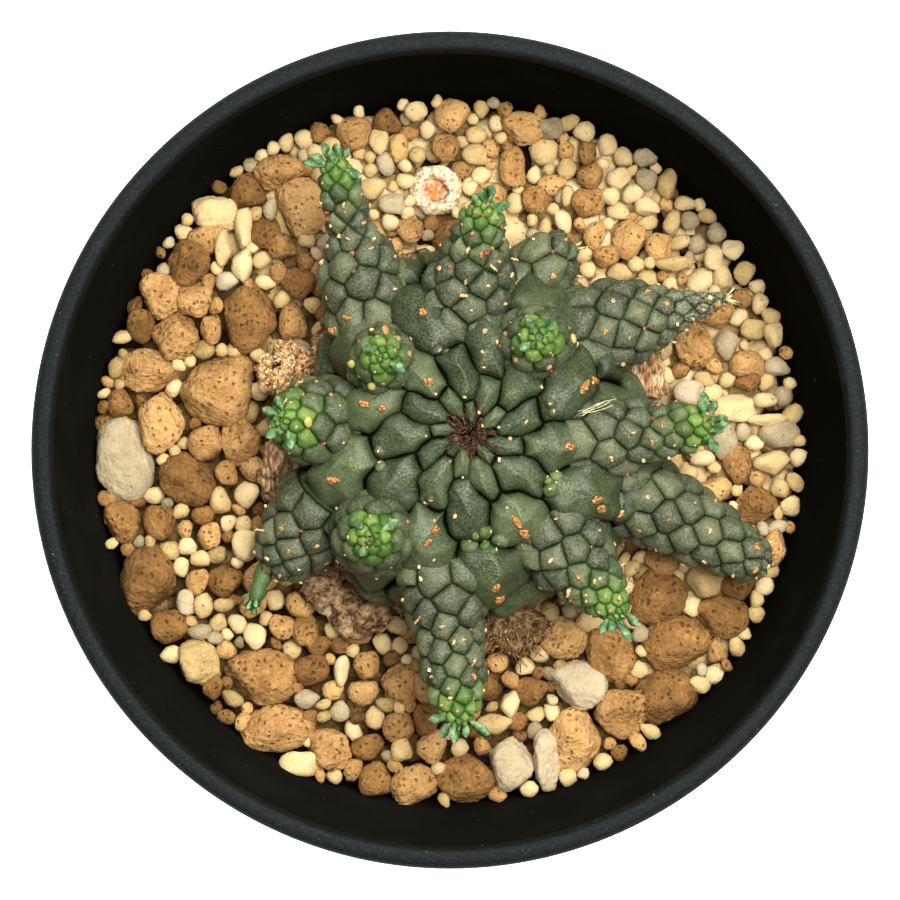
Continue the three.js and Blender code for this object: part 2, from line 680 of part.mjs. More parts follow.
// The side shoot: a thin soft stem that ends in dried leaf remains
function makeSideShoot() {
  const foot = new THREE.Vector3(...SIDE_SHOOT.foot);
  const end = new THREE.Vector3(...SIDE_SHOOT.end);
  const axis = end.clone().sub(foot).normalize();
  const length = foot.distanceTo(end);
  const stem = new THREE.CylinderGeometry(SIDE_SHOOT.endRadius, SIDE_SHOOT.radius, length, 8, 2);
  stem.translate(0, length / 2, 0);
  stem.applyQuaternion(new THREE.Quaternion().setFromUnitVectors(new THREE.Vector3(0, 1, 0), axis));
  const side = new THREE.Vector3(0, 0, 1).cross(axis).normalize();
  const leafFoot = end.clone().addScaledVector(axis, -SIDE_SHOOT.radius);
  const leaves = SIDE_SHOOT_LEAF_LEANS.map((lean) => {
    return leafSolid(leafFoot, axis.clone().addScaledVector(side, lean).normalize());
  });
  return leaves.reduce((shoot, leaf) => shoot.add(leaf), toSolid(stem.translate(...SIDE_SHOOT.foot)));
}

// Packed grains: six-sided cells on a shaken grid, each with its own height
function makeGrains() {
  const random = seeded(2024);
  const reach = Math.ceil((1.5 * RIM_RADIUS) / GRAIN_SPACING);
  const grid = new Map();
  for (let row = -reach; row <= reach; row += 1) {
    for (let column = -reach; column <= reach; column += 1) {
      const x = column + row / 2 + GRAIN_SHAKE * (random() - 0.5);
      const y = row * Math.sin(Math.PI / 3) + GRAIN_SHAKE * (random() - 0.5);
      const z = MIX_LEVEL + GRAIN_RISE * (0.5 + random());
      grid.set(`${column},${row}`, new THREE.Vector3(GRAIN_SPACING * x, GRAIN_SPACING * y, z));
    }
  }
  // A corner is the middle of three grains
  const corner = (cells) => {
    const sum = cells.reduce((total, cell) => total.add(grid.get(cell.join())), new THREE.Vector3());
    return { key: cells.join(' '), point: sum.divideScalar(3).setZ(MIX_LEVEL) };
  };
  const above = (column, row) => corner([[column, row], [column + 1, row], [column, row + 1]]);
  const below = (column, row) => corner([[column + 1, row], [column, row + 1], [column + 1, row + 1]]);
  const skin = new CellSkin();
  for (let row = 1 - reach; row < reach; row += 1) {
    for (let column = 1 - reach; column < reach; column += 1) {
      const middle = grid.get(`${column},${row}`);
      if (Math.hypot(middle.x, middle.y) < RIM_RADIUS + GRAIN_SPACING) {
        const corners = [
          above(column, row),
          below(column - 1, row),
          above(column - 1, row),
          below(column - 1, row - 1),
          above(column, row - 1),
          below(column, row - 1),
        ];
        const ring = corners.map(({ point }) => {
          const shoulder = point.clone().lerp(middle, GRAIN_SHOULDER.inset);
          return shoulder.setZ(THREE.MathUtils.lerp(MIX_LEVEL, middle.z, GRAIN_SHOULDER.height));
        });
        skin.addCell(corners, ring, middle);
      }
    }
  }
  return skin.close([new THREE.Vector3(0, 0, -2 * POT_HEIGHT)]);
}

function makeLargestGrains() {
  const random = seeded(77);
  return LARGEST_GRAINS.map(([x, y, halfX, halfY]) => {
    const halfZ = ((halfX + halfY) / 2) * LARGEST_GRAIN.flatness;
    const grain = roughStone(random, [halfX, halfY, halfZ], LARGEST_GRAIN.roughness);
    return toSolid(grain.translate(x, y, MIX_LEVEL + halfZ * LARGEST_GRAIN.showing));
  });
}

// The potting mix: grains pressed into a bed that fills the pot, with a hole for the trunk
function makeMix() {
  const husk = new THREE.TorusGeometry(HUSK.radius, HUSK.thickness, 5, 9);
  const lying = [...makeLargestGrains(), toSolid(husk.translate(...HUSK.at))];
  const bottom = FOOT_RECESS + WALL + GAP;
  const bed = latheSolid([
    [0, bottom],
    [potInnerRadius(bottom) - GAP, bottom],
    [potInnerRadius(MIX_CEILING) - GAP, MIX_CEILING],
    [0, MIX_CEILING],
  ], POT_SIDES);
  const mix = lying.reduce((body, grain) => body.add(grain), makeGrains()).intersect(bed);
  return [makeHole(), ...makeLumps(GAP), makeStump(GAP)].reduce((left, room) => left.subtract(room), mix);
}

const headRoom = makeHead(GAP);
const trunkRoom = makeTrunk(GAP);
const group = new THREE.Group();
group.add(node('pot', makePot(), 0x24282a, 0.75));
group.add(node('potting_mix', largestBody(makeMix()), 0xc79a61, 0.95));
group.add(node('caudex', largestBody(makeTrunk(0).subtract(headRoom)), 0x8a6242, 0.9));
group.add(node('head', makeHead(0), 0x4d6350, 0.7));

// Each branch gives way to the head, the trunk and the branches before it;
// a leaf or a flower stalk is there only where it is clear of all of them
const stems = BRANCHES.map((branch) => {
  const line = branchLine(branch);
  const scale = branchScale(line);
  return { branch, line, scale, room: makeBranch(branch, line, scale, GAP) };
});
stems.forEach(({ branch, line, scale }, i) => {
  const before = [headRoom, trunkRoom, ...stems.slice(0, i).map((stem) => stem.room)];
  const others = [headRoom, trunkRoom, ...stems.filter((_, j) => j !== i).map((stem) => stem.room)];
  const giveWay = (solid) => largestBody(before.reduce((left, room) => left.subtract(room), solid));
  const isClear = (solid) => others.every((room) => solid.intersect(room).isEmpty());
  const withParts = (solid, parts) => parts.filter(isClear).reduce((body, part) => body.add(part), solid);
  let stem = withParts(giveWay(makeBranch(branch, line, scale, 0)), stalksOf(branch, line, scale));
  if (branch.leafy) {
    const tip = withParts(giveWay(makeTipCore(line)), leavesOf(branch, line));
    group.add(node(`leafy_tip_${branch.name}`, tip, 0x62b03c, 0.6));
    stem = stem.subtract(tipSide(line, LEAFY_LENGTH + GAP / 2));
  }
  group.add(node(`branch_${branch.name}`, largestBody(stem), 0x566b58, 0.7));
});
const shoot = stems.reduce((left, stem) => left.subtract(stem.room), makeSideShoot());
group.add(node('side_shoot_front_left', largestBody(shoot), 0x5f9a40, 0.6));

export default group;
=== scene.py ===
"""A potted Euphorbia gatbergensis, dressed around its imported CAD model.

Sizes are in millimetres, as on the real plant, and are turned to metres where a mesh is made.
"""

import json
import math
from collections import defaultdict
from functools import partial

import bmesh
import bpy
import numpy as np
from mathutils import Matrix, Vector, noise
from mathutils.bvhtree import BVHTree

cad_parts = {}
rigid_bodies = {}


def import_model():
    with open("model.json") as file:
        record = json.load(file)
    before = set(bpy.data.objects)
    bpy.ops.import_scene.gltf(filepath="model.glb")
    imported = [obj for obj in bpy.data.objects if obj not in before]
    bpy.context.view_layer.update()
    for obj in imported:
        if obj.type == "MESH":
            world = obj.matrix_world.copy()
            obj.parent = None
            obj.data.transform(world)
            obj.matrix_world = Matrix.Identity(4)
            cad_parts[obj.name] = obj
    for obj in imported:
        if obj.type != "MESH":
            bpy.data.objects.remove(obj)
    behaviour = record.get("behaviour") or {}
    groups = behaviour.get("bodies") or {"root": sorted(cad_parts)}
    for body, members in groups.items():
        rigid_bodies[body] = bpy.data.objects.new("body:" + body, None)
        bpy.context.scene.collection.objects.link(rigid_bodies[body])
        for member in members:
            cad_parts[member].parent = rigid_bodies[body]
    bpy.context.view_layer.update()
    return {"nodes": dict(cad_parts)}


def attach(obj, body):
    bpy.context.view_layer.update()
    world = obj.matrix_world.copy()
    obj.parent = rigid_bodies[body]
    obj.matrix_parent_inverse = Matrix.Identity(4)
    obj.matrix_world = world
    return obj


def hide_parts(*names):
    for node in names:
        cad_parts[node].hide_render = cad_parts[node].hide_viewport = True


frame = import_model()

MM = 0.001
GOLDEN_ANGLE = math.radians(137.508)
# A full turn, near enough for random turns
FULL_TURN = 6.28
PLANT = np.array([2.4, 2.0])

# The camera looks straight down, from this height above the pot's foot
CAMERA_HEIGHT = 540
CAMERA_LENS = 144
CAMERA_SENSOR = 36
IMAGE_SIDE = 900


# Small helpers


def smooth_step(value, low, high):
    t = np.clip((value - low) / (high - low), 0, 1)
    return t * t * (3 - 2 * t)


def unit(vectors):
    vectors = np.asarray(vectors, float)
    return vectors / (np.linalg.norm(vectors, axis=-1, keepdims=True) + 1e-12)


def wrap(angle):
    return math.atan2(math.sin(angle), math.cos(angle))


def seeded(*numbers):
    return np.random.default_rng([int(abs(number)) for number in numbers])


def colour(code):
    """An sRGB hex value as the linear colour that a shader takes."""
    channels = [int(code[i : i + 2], 16) / 255 for i in (1, 3, 5)]
    return [c / 12.92 if c <= 0.04045 else ((c + 0.055) / 1.055) ** 2.4 for c in channels] + [1]


def add_node(tree, kind, inputs=None, stops=(), **settings):
    """Adds a node with its settings, and a value, another node or an output for each input named."""
    node = tree.nodes.new(kind)
    for name, value in settings.items():
        setattr(node, name, value)
    for key, value in (inputs or {}).items():
        if isinstance(value, bpy.types.Node):
            value = next(output for output in value.outputs if output.enabled)
        if isinstance(value, bpy.types.NodeSocket):
            tree.links.new(value, node.inputs[key])
        else:
            node.inputs[key].default_value = value
    for i, (position, code) in enumerate(stops):
        elements = node.color_ramp.elements
        element = elements[i] if i < len(elements) else elements.new(position)
        element.position = position
        element.color = colour(code)
    return node


def link_object(name, mesh):
    piece = bpy.data.objects.new(name, mesh)
    bpy.context.scene.collection.objects.link(piece)
    return piece


def add_mesh(name, points, faces, attributes=None):
    """An object from points in millimetres, with a value at each point for every attribute named."""
    mesh = bpy.data.meshes.new(name)
    mesh.from_pydata((np.asarray(points, float) * MM).tolist(), [], [tuple(map(int, face)) for face in faces])
    for key, values in (attributes or {}).items():
        values = np.asarray(values)
        if values.ndim == 2:
            mesh.attributes.new(key, "FLOAT_VECTOR", "POINT").data.foreach_set("vector", values.ravel())
        else:
            kind = "INT" if values.dtype.kind == "i" else "FLOAT"
            mesh.attributes.new(key, kind, "POINT").data.foreach_set("value", values)
    mesh.validate()
    mesh.shade_smooth()
    return link_object(name, mesh)


def points_of(piece):
    """The piece's points, in millimetres."""
    points = np.zeros(len(piece.data.vertices) * 3)
    piece.data.vertices.foreach_get("co", points)
    return points.reshape(-1, 3) / MM


def set_attribute(piece, key, values):
    piece.data.attributes.new(key, "FLOAT", "POINT").data.foreach_set("value", values.astype(np.float32))


def change_mesh(piece, change):
    """Runs a change on the piece's mesh, then turns its faces outwards."""
    made = bmesh.new()
    made.from_mesh(piece.data)
    change(made)
    bmesh.ops.recalc_face_normals(made, faces=made.faces)
    made.to_mesh(piece.data)
    made.free()


def bake_modifiers(piece):
    """Turns what the modifiers make into the piece's own mesh."""
    depsgraph = bpy.context.evaluated_depsgraph_get()
    evaluated = piece.evaluated_get(depsgraph)
    mesh = bpy.data.meshes.new_from_object(evaluated, preserve_all_data_layers=True, depsgraph=depsgraph)
    piece.modifiers.clear()
    piece.data = mesh


def dress(piece, material, slot, *nodes):
    """Gives a piece its material and its body, and hides the nodes that it stands for. The slot is not used.
    """
    piece.data.materials.clear()
    piece.data.materials.append(material)
    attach(piece, "root")
    if nodes:
        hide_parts(*nodes)


class Parts:
    """Points and faces of several shapes, gathered into one mesh."""

    def __init__(self):
        self.points = []
        self.faces = []
        self.attributes = {}
        self.count = 0

    def add(self, points, faces, **attributes):
        points = np.asarray(points, float)
        self.points.append(points)
        self.faces.extend(tuple(i + self.count for i in face) for face in faces)
        self.count += len(points)
        for key, value in attributes.items():
            values = np.broadcast_to(np.asarray(value, float), (len(points),))
            self.attributes.setdefault(key, []).append(values)

    def make(self, name):
        attributes = {key: np.concatenate(values) for key, values in self.attributes.items()}
        return add_mesh(name, np.concatenate(self.points), self.faces, attributes)


def ring_faces(rows, sides):
    """The faces between rings of points that follow each other."""
    faces = []
    for row in range(rows - 1):
        for i in range(sides):
            a, b = row * sides + i, row * sides + (i + 1) % sides
            faces.append((a, b, b + sides, a + sides))
    return faces


def tube(path, radii, sides=6):
    """A strand along a path of points, with a radius at each and a point at both ends."""
    path = np.asarray(path, float)
    tangents = unit(np.gradient(path, axis=0))
    side = unit(np.cross(tangents[0], [0.3, 0.2, 0.93]))
    turns = np.arange(sides) * 2 * math.pi / sides
    points = []
    for point, tangent, radius in zip(path, tangents, radii):
        side = unit(side - tangent * side.dot(tangent))
        up = np.cross(tangent, side)
        points += [point + radius * (side * math.cos(t) + up * math.sin(t)) for t in turns]
    faces = ring_faces(len(path), sides)
    start, end = len(points), len(points) + 1
    last = (len(path) - 1) * sides
    points += [path[0], path[-1]]
    for i in range(sides):
        j = (i + 1) % sides
        faces += [(start, j, i), (end, last + i, last + j)]
    return np.array(points), faces


def lathe(name, profile, sides):
    """A body turned from a profile of (radius, height) that starts and ends on the axis."""
    turns = np.arange(sides) * 2 * math.pi / sides
    points = [(radius * math.cos(t), radius * math.sin(t), z) for radius, z in profile for t in turns]
    piece = add_mesh(name, points, ring_faces(len(profile), sides))
    change_mesh(piece, lambda made: bmesh.ops.remove_doubles(made, verts=made.verts, dist=1e-7))
    return piece


# Materials


def start_material(name):
    """A new material, the way to add nodes to it, and the place on the object in its own frame."""
    material = bpy.data.materials.new(name)
    material.use_nodes = True
    material.node_tree.nodes.clear()
    add = partial(add_node, material.node_tree)
    return material, add, add("ShaderNodeTexCoord").outputs["Object"]


def finish_material(add, base, roughness, specular=0.5, **sockets):
    sockets |= {"Base Color": base, "Roughness": roughness, "Specular IOR Level": specular}
    shader = add("ShaderNodeBsdfPrincipled", sockets)
    add("ShaderNodeOutputMaterial", {"Surface": shader})


def texture_scale(width):
    """The scale at which a pattern's blotches or cells are about that many millimetres wide."""
    return 1 / (width * MM)


def make_skin(name, tones, line, young_tones, young_line, fleck, shine):
    """Waxy succulent skin: flecked on top of each tubercle, with a thin dark line of painted shade round it.
    """
    material, add, place = start_material(name)
    keys = ("rim", "tone", "young", "worn")
    rim, tone, young, worn = (add("ShaderNodeAttribute", attribute_name=key).outputs["Fac"] for key in keys)
    cloud = add("ShaderNodeTexNoise", {"Vector": place, "Scale": texture_scale(2.2), "Detail": 4.0})
    fine = {"Vector": place, "Scale": texture_scale(0.3), "Detail": 2.0, "Roughness": 0.8}
    grain = add("ShaderNodeTexNoise", fine)
    dust = add("ShaderNodeTexNoise", {"Vector": place, "Scale": texture_scale(0.17), "Detail": 1.0})
    half_tone = add("ShaderNodeMath", {0: tone, 1: 0.45}, operation="MULTIPLY")
    shade = add("ShaderNodeMath", {0: cloud, 1: 0.6, 2: half_tone}, operation="MULTIPLY_ADD")
    old = add("ShaderNodeValToRGB", {"Fac": shade}, zip((0.3, 0.52, 0.75), tones))
    fresh = add("ShaderNodeValToRGB", {"Fac": shade}, zip((0.35, 0.7), young_tones))
    base = add("ShaderNodeMix", {0: young, 6: old, 7: fresh}, data_type="RGBA")
    # Pale flecks, where grit and age have rubbed the wax thin and, along the keels of the head, a painted
    # highlight; dark pores between them
    share = add("ShaderNodeMath", {0: worn, 1: 0.45, 2: 0.14}, operation="MULTIPLY_ADD")
    spots = add("ShaderNodeMapRange", {0: grain, 1: 0.36, 2: 0.74}, interpolation_type="SMOOTHSTEP")
    pale = add("ShaderNodeMath", {0: spots, 1: share}, operation="MULTIPLY")
    pores = add("ShaderNodeMapRange", {0: dust, 1: 0.52, 2: 0.68, 4: 0.5})
    # The dark line painted in the groove as the shade in the crease, greener where the skin is young, and a
    # soft painted shade beside it
    groove = add("ShaderNodeMix", {0: young, 6: colour(line), 7: colour(young_line)}, data_type="RGBA")
    beside = add("ShaderNodeMapRange", {0: rim, 1: 0.68, 2: 0.98, 4: 0.48})
    inside = add("ShaderNodeMapRange", {0: rim, 1: 0.95, 2: 0.985}, interpolation_type="SMOOTHSTEP")
    for cover, tint in ((pale, colour(fleck)), (pores, colour(line)), (beside, groove), (inside, groove)):
        base = add("ShaderNodeMix", {0: cover, 6: base, 7: tint}, data_type="RGBA")
    relief = add("ShaderNodeBump", {"Height": grain, "Distance": 0.1 * MM})
    relief = add("ShaderNodeBump", {"Height": cloud, "Distance": 0.25 * MM, "Normal": relief})
    gloss = add("ShaderNodeMapRange", {0: rim, 1: 0.86, 2: 0.97, 3: 0.3, 4: 0.0})
    finish_material(add, base, shine, gloss, Normal=relief)
    return material


def make_stone(name, tones, pit, pit_spacing, pit_width, grit, relief_depth):
    """A porous grain: gritty, with ragged open pits, and of a tone of its own."""
    material, add, place = start_material(name)
    tone = add("ShaderNodeAttribute", attribute_name="tone").outputs["Fac"]
    cloud = add("ShaderNodeTexNoise", {"Vector": place, "Scale": texture_scale(2.4), "Detail": 3.0})
    gritty = {"Vector": place, "Scale": texture_scale(grit), "Detail": 3.0, "Roughness": 0.7}
    grain = add("ShaderNodeTexNoise", gritty)
    # The pits sway with the blotches, and the grit makes their edges ragged
    swayed = place
    for pattern, reach in ((cloud, 1.2 * MM), (grain, 0.5 * MM)):
        shift = add("ShaderNodeVectorMath", {0: pattern.outputs["Color"], "Scale": reach}, operation="SCALE")
        swayed = add("ShaderNodeVectorMath", {0: swayed, 1: shift}, operation="ADD")
    holes = add("ShaderNodeTexVoronoi", {"Vector": swayed, "Scale": texture_scale(pit_spacing)})
    half_tone = add("ShaderNodeMath", {0: tone, 1: 0.5}, operation="MULTIPLY")
    drift = add("ShaderNodeMath", {0: cloud, 1: 0.45, 2: half_tone}, operation="MULTIPLY_ADD")
    shade = add("ShaderNodeMath", {0: grain, 1: 0.5, 2: drift}, operation="MULTIPLY_ADD")
    base = add("ShaderNodeValToRGB", {"Fac": shade}, zip((0.4, 0.7, 1.0), tones))
    # Only some of the pits are open
    pick = add("ShaderNodeSeparateColor", {0: holes.outputs["Color"]})
    is_open = add("ShaderNodeMath", {0: pick, 1: 0.5}, operation="GREATER_THAN")
    edge = pit_width / pit_spacing
    fall = {0: holes.outputs["Distance"], 1: 0.5 * edge, 2: edge, 3: 1.0, 4: 0.0}
    hole = add("ShaderNodeMapRange", fall, interpolation_type="SMOOTHSTEP")
    pits = add("ShaderNodeMath", {0: hole, 1: is_open}, operation="MULTIPLY")
    dark = add("ShaderNodeMath", {0: pits, 1: 0.5}, operation="MULTIPLY")
    base = add("ShaderNodeMix", {0: dark, 6: base, 7: colour(pit)}, data_type="RGBA")
    height = add("ShaderNodeMath", {0: grain, 1: pits}, operation="SUBTRACT")
    relief = add("ShaderNodeBump", {"Height": height, "Distance": relief_depth * MM})
    finish_material(add, base, 0.92, 0.15, Normal=relief)
    return material


def make_plain(name, tones, width, depth, roughness):
    """A grown or dried surface whose colour drifts between three tones."""
    material, add, place = start_material(name)
    drift = {"Vector": place, "Scale": texture_scale(width), "Detail": 4.0, "Roughness": 0.65}
    grain = add("ShaderNodeTexNoise", drift)
    base = add("ShaderNodeValToRGB", {"Fac": grain}, zip((0.36, 0.5, 0.64), tones))
    relief = add("ShaderNodeBump", {"Height": grain, "Distance": depth * MM})
    finish_material(add, base, roughness, 0.2, Normal=relief)
    return material


def make_toned(name, tones, roughness):
    """A smooth growth whose colour goes with its tone, and drifts a little."""
    material, add, place = start_material(name)
    tone = add("ShaderNodeAttribute", attribute_name="tone").outputs["Fac"]
    cloud = add("ShaderNodeTexNoise", {"Vector": place, "Scale": texture_scale(0.6), "Detail": 2.0})
    swing = add("ShaderNodeMath", {0: cloud, 1: 0.4, 2: -0.2}, operation="MULTIPLY_ADD")
    shade = add("ShaderNodeMath", {0: tone, 1: swing}, operation="ADD")
    base = add("ShaderNodeValToRGB", {"Fac": shade}, zip((0.15, 0.5, 0.85), tones))
    finish_material(add, base, roughness, 0.25)
    return material


def make_husk_fibre():
    """Dried husk: pale and fibrous round an orange pulp with white crumbs."""
    material, add, place = start_material("dried_husk")
    middle = add("ShaderNodeAttribute", attribute_name="middle").outputs["Fac"]
    fuzz = {"Vector": place, "Scale": texture_scale(0.5), "Detail": 4.0, "Roughness": 0.75}
    grain = add("ShaderNodeTexNoise", fuzz)
    rim = add("ShaderNodeValToRGB", {"Fac": grain}, ((0.38, "#9c7a4c"), (0.5, "#dcc79c"), (0.62, "#f3ead0")))
    pulp = add("ShaderNodeValToRGB", {"Fac": grain}, ((0.4, "#b8622c"), (0.55, "#dd8b4d"), (0.66, "#f6e6d2")))
    base = add("ShaderNodeMix", {0: middle, 6: rim, 7: pulp}, data_type="RGBA")
    relief = add("ShaderNodeBump", {"Height": grain, "Distance": 0.4 * MM})
    finish_material(add, base, 0.9, Normal=relief)
    return material


def make_bark():
    """Corky bark: crumbly, pinkish tan on its ridges and nearly black in its cracks."""
    material, add, place = start_material("corky_bark")
    cloud = add("ShaderNodeTexNoise", {"Vector": place, "Scale": texture_scale(3.0), "Detail": 3.0})
    crumbly = {"Vector": place, "Scale": texture_scale(0.8), "Detail": 5.0, "Roughness": 0.75}
    crumb = add("ShaderNodeTexNoise", crumbly)
    shade = add("ShaderNodeMath", {0: cloud, 1: 0.3}, operation="MULTIPLY")
    shade = add("ShaderNodeMath", {0: crumb, 1: 0.75, 2: shade}, operation="MULTIPLY_ADD")
    stops = ((0.4, "#23160b"), (0.47, "#6d4f2d"), (0.55, "#a8845a"), (0.66, "#d6b88a"))
    base = add("ShaderNodeValToRGB", {"Fac": shade}, stops)
    keys = ("red", "stump", "hollow")
    red, stump, hollow = (add("ShaderNodeAttribute", attribute_name=key).outputs["Fac"] for key in keys)
    # Patches of redder wood, streaked along their grain
    patch = add("ShaderNodeMapRange", {0: cloud, 1: 0.32, 2: 0.48})
    reddened = add("ShaderNodeMath", {0: red, 1: patch}, operation="MULTIPLY")
    along_grain = add("ShaderNodeMapping", {"Vector": place, "Scale": (2.4, 0.6, 1.0)})
    streak = add("ShaderNodeTexNoise", {"Vector": along_grain, "Scale": texture_scale(0.9), "Detail": 4.0})
    stops = ((0.36, "#7a5030"), (0.5, "#c8945f"), (0.62, "#efd6aa"))
    rust = add("ShaderNodeValToRGB", {"Fac": streak}, stops)
    # The torn stump is paler, and its hollow is painted near black as shade
    stops = ((0.38, "#38220f"), (0.46, "#8f6334"), (0.54, "#c59d67"), (0.63, "#e6d1a4"))
    wood = add("ShaderNodeValToRGB", {"Fac": crumb}, stops)
    for cover, tint in ((reddened, rust), (stump, wood), (hollow, colour("#1d120a"))):
        base = add("ShaderNodeMix", {0: cover, 6: base, 7: tint}, data_type="RGBA")
    relief = add("ShaderNodeBump", {"Height": crumb, "Distance": 0.9 * MM})
    finish_material(add, base, 0.9, 0.2, Normal=relief)
    return material


def make_pot_plastic():
    """Moulded black polypropylene: matte, grainy and greyer on the rim, with specks of dust."""
    material, add, place = start_material("moulded_black_plastic")
    grainy = {"Vector": place, "Scale": texture_scale(0.28), "Detail": 3.0, "Roughness": 0.75}
    grain = add("ShaderNodeTexNoise", grainy)
    cloud = add("ShaderNodeTexNoise", {"Vector": place, "Scale": texture_scale(11), "Detail": 3.0})
    dust = add("ShaderNodeTexNoise", {"Vector": place, "Scale": texture_scale(0.55), "Detail": 1.0})
    # The rim is what is both high up and far out
    axes = add("ShaderNodeSeparateXYZ", {0: place})
    plan = add("ShaderNodeCombineXYZ", {0: axes.outputs[0], 1: axes.outputs[1]})
    radius = add("ShaderNodeVectorMath", {0: plan}, operation="LENGTH")
    upper = add("ShaderNodeMapRange", {0: axes.outputs[2], 1: 84 * MM, 2: 87 * MM})
    outer = add("ShaderNodeMapRange", {0: radius.outputs["Value"], 1: 49.7 * MM, 2: 50.2 * MM})
    rim = add("ShaderNodeMath", {0: upper, 1: outer}, operation="MULTIPLY")
    smear = add("ShaderNodeMapRange", {0: cloud, 1: 0.45, 2: 0.7, 4: 0.5})
    scuff = add("ShaderNodeMapRange", {0: grain, 1: 0.5, 2: 0.7, 4: 0.3})
    scuff = add("ShaderNodeMath", {0: scuff, 1: rim}, operation="MULTIPLY")
    specks = add("ShaderNodeMapRange", {0: dust, 1: 0.78, 2: 0.83, 4: 0.3})
    base = colour("#13130f")
    for cover, tint in ((smear, "#1d1c16"), (rim, "#0c0f0f"), (scuff, "#394040"), (specks, "#a9a592")):
        base = add("ShaderNodeMix", {0: cover, 6: base, 7: colour(tint)}, data_type="RGBA")
    relief = add("ShaderNodeBump", {"Height": grain, "Distance": 0.06 * MM})
    sheen = add("ShaderNodeMath", {0: rim, 1: 0.1}, operation="MULTIPLY")
    finish_material(add, base, 0.62, sheen, Normal=relief)
    return material


# Old skin: dark green wax on the head, granular with pale flecks where the wax is rubbed thin, gathered on
# each keel as a painted highlight
old_skin = make_skin(
    "waxy_skin_of_the_head", ("#1e2815", "#2f3a22", "#455032"), "#060b03", ("#3f6124", "#5a8032"), "#1f3816",
    "#80875f", 0.44,
)
# Branch skin: greyer wax with a purple cast on its pads, and bright green where it is young
grey_skin = make_skin(
    "waxy_skin_of_the_branches", ("#282f1e", "#394129", "#525739"), "#111e0a", ("#39551c", "#587532"),
    "#264715", "#9a9a79", 0.5,
)
# Young skin: the soft bright green of growing tips
young_skin = make_skin(
    "soft_young_skin", ("#2f4622", "#3d5822", "#536c32"), "#1f3b0e", ("#3a5a1a", "#668034"), "#264715",
    "#929e60", 0.5,
)
# Leaf: thin and smooth, blue-green, drying paler
leaf_green = make_plain("tender_leaf", ("#34522f", "#516f44", "#819b6a"), 0.9, 0.03, 0.5)
# Cork: the orange-brown tissue that heals over a scar
healed_cork = make_plain("healed_cork", ("#54300f", "#98602a", "#d6ab70"), 0.3, 0.15, 0.9)
# Dried stalk: bleached, papery and cream coloured
dried_stalk = make_plain("dried_stalk", ("#6f4c28", "#b8965f", "#e6d4a6"), 0.35, 0.08, 0.85)
# Unopened buds: smooth and waxy, peach to pale yellow by their tone
peach_bud = make_toned("unopened_bud", ("#98704a", "#b39568", "#a39c50"), 0.6)
# Root fibre: stringy, dry and brown
root_fibre = make_plain("dry_root_fibre", ("#3d2a14", "#7a5c34", "#b39460"), 0.8, 0.05, 0.9)
# Torn wood: splintered, dry and tan, with cream edges
torn_wood = make_plain("torn_wood", ("#6b4524", "#b78b52", "#e6d0a2"), 0.7, 0.15, 0.95)
# Red bud: the tiny reddish buds in the axils
red_bud = make_plain("red_bud", ("#5a2a1c", "#864834", "#b08060"), 0.4, 0.05, 0.5)
# Dried hair: the brittle pink-brown remains of leaves round the growing point
dried_hair = make_plain("dried_hair", ("#140c06", "#352112", "#6f5138"), 0.5, 0.05, 0.95)
# Straw: pale threads of dry grass
straw = make_plain("dry_straw", ("#9a9868", "#bfbc8c", "#dedab0"), 1.0, 0.02, 0.7)
bark = make_bark()
dried_husk = make_husk_fibre()
pot_plastic = make_pot_plastic()
# Fired clay: hard, matte and tan, with open pores about half a millimetre wide
fired_clay = make_stone("fired_clay_grain", ("#452d14", "#8a6334", "#c99d62"), "#3d2611", 0.8, 0.26, 0.5, 0.5)
# Pumice: cream, finer and smoother
pumice = make_stone("cream_pumice_grain", ("#826d3e", "#b79b66", "#d0b989"), "#6a5529", 1.2, 0.18, 0.4, 0.2)
# White pumice: chalky broken lumps
white_pumice = make_stone(
    "white_pumice_lump", ("#6c5f43", "#9a8a68", "#bcaa88"), "#6d6042", 1.4, 0.2, 0.4, 0.25
)
# Painted-shade grains: the grains below those on top, painted dark brown as the shade they lie in
painted_shade_grain = make_stone(
    "damp_lower_grain", ("#33240f", "#5f4923", "#97804e"), "#20150a", 0.95, 0.22, 0.5, 0.4
)
# Bed: the mix under the top grains, painted dark as the shade there
dark_mix = make_stone("damp_mix", ("#23170d", "#3b2716", "#573b22"), "#140c06", 1.5, 0.5, 0.5, 0.5)

# Copies of small shapes


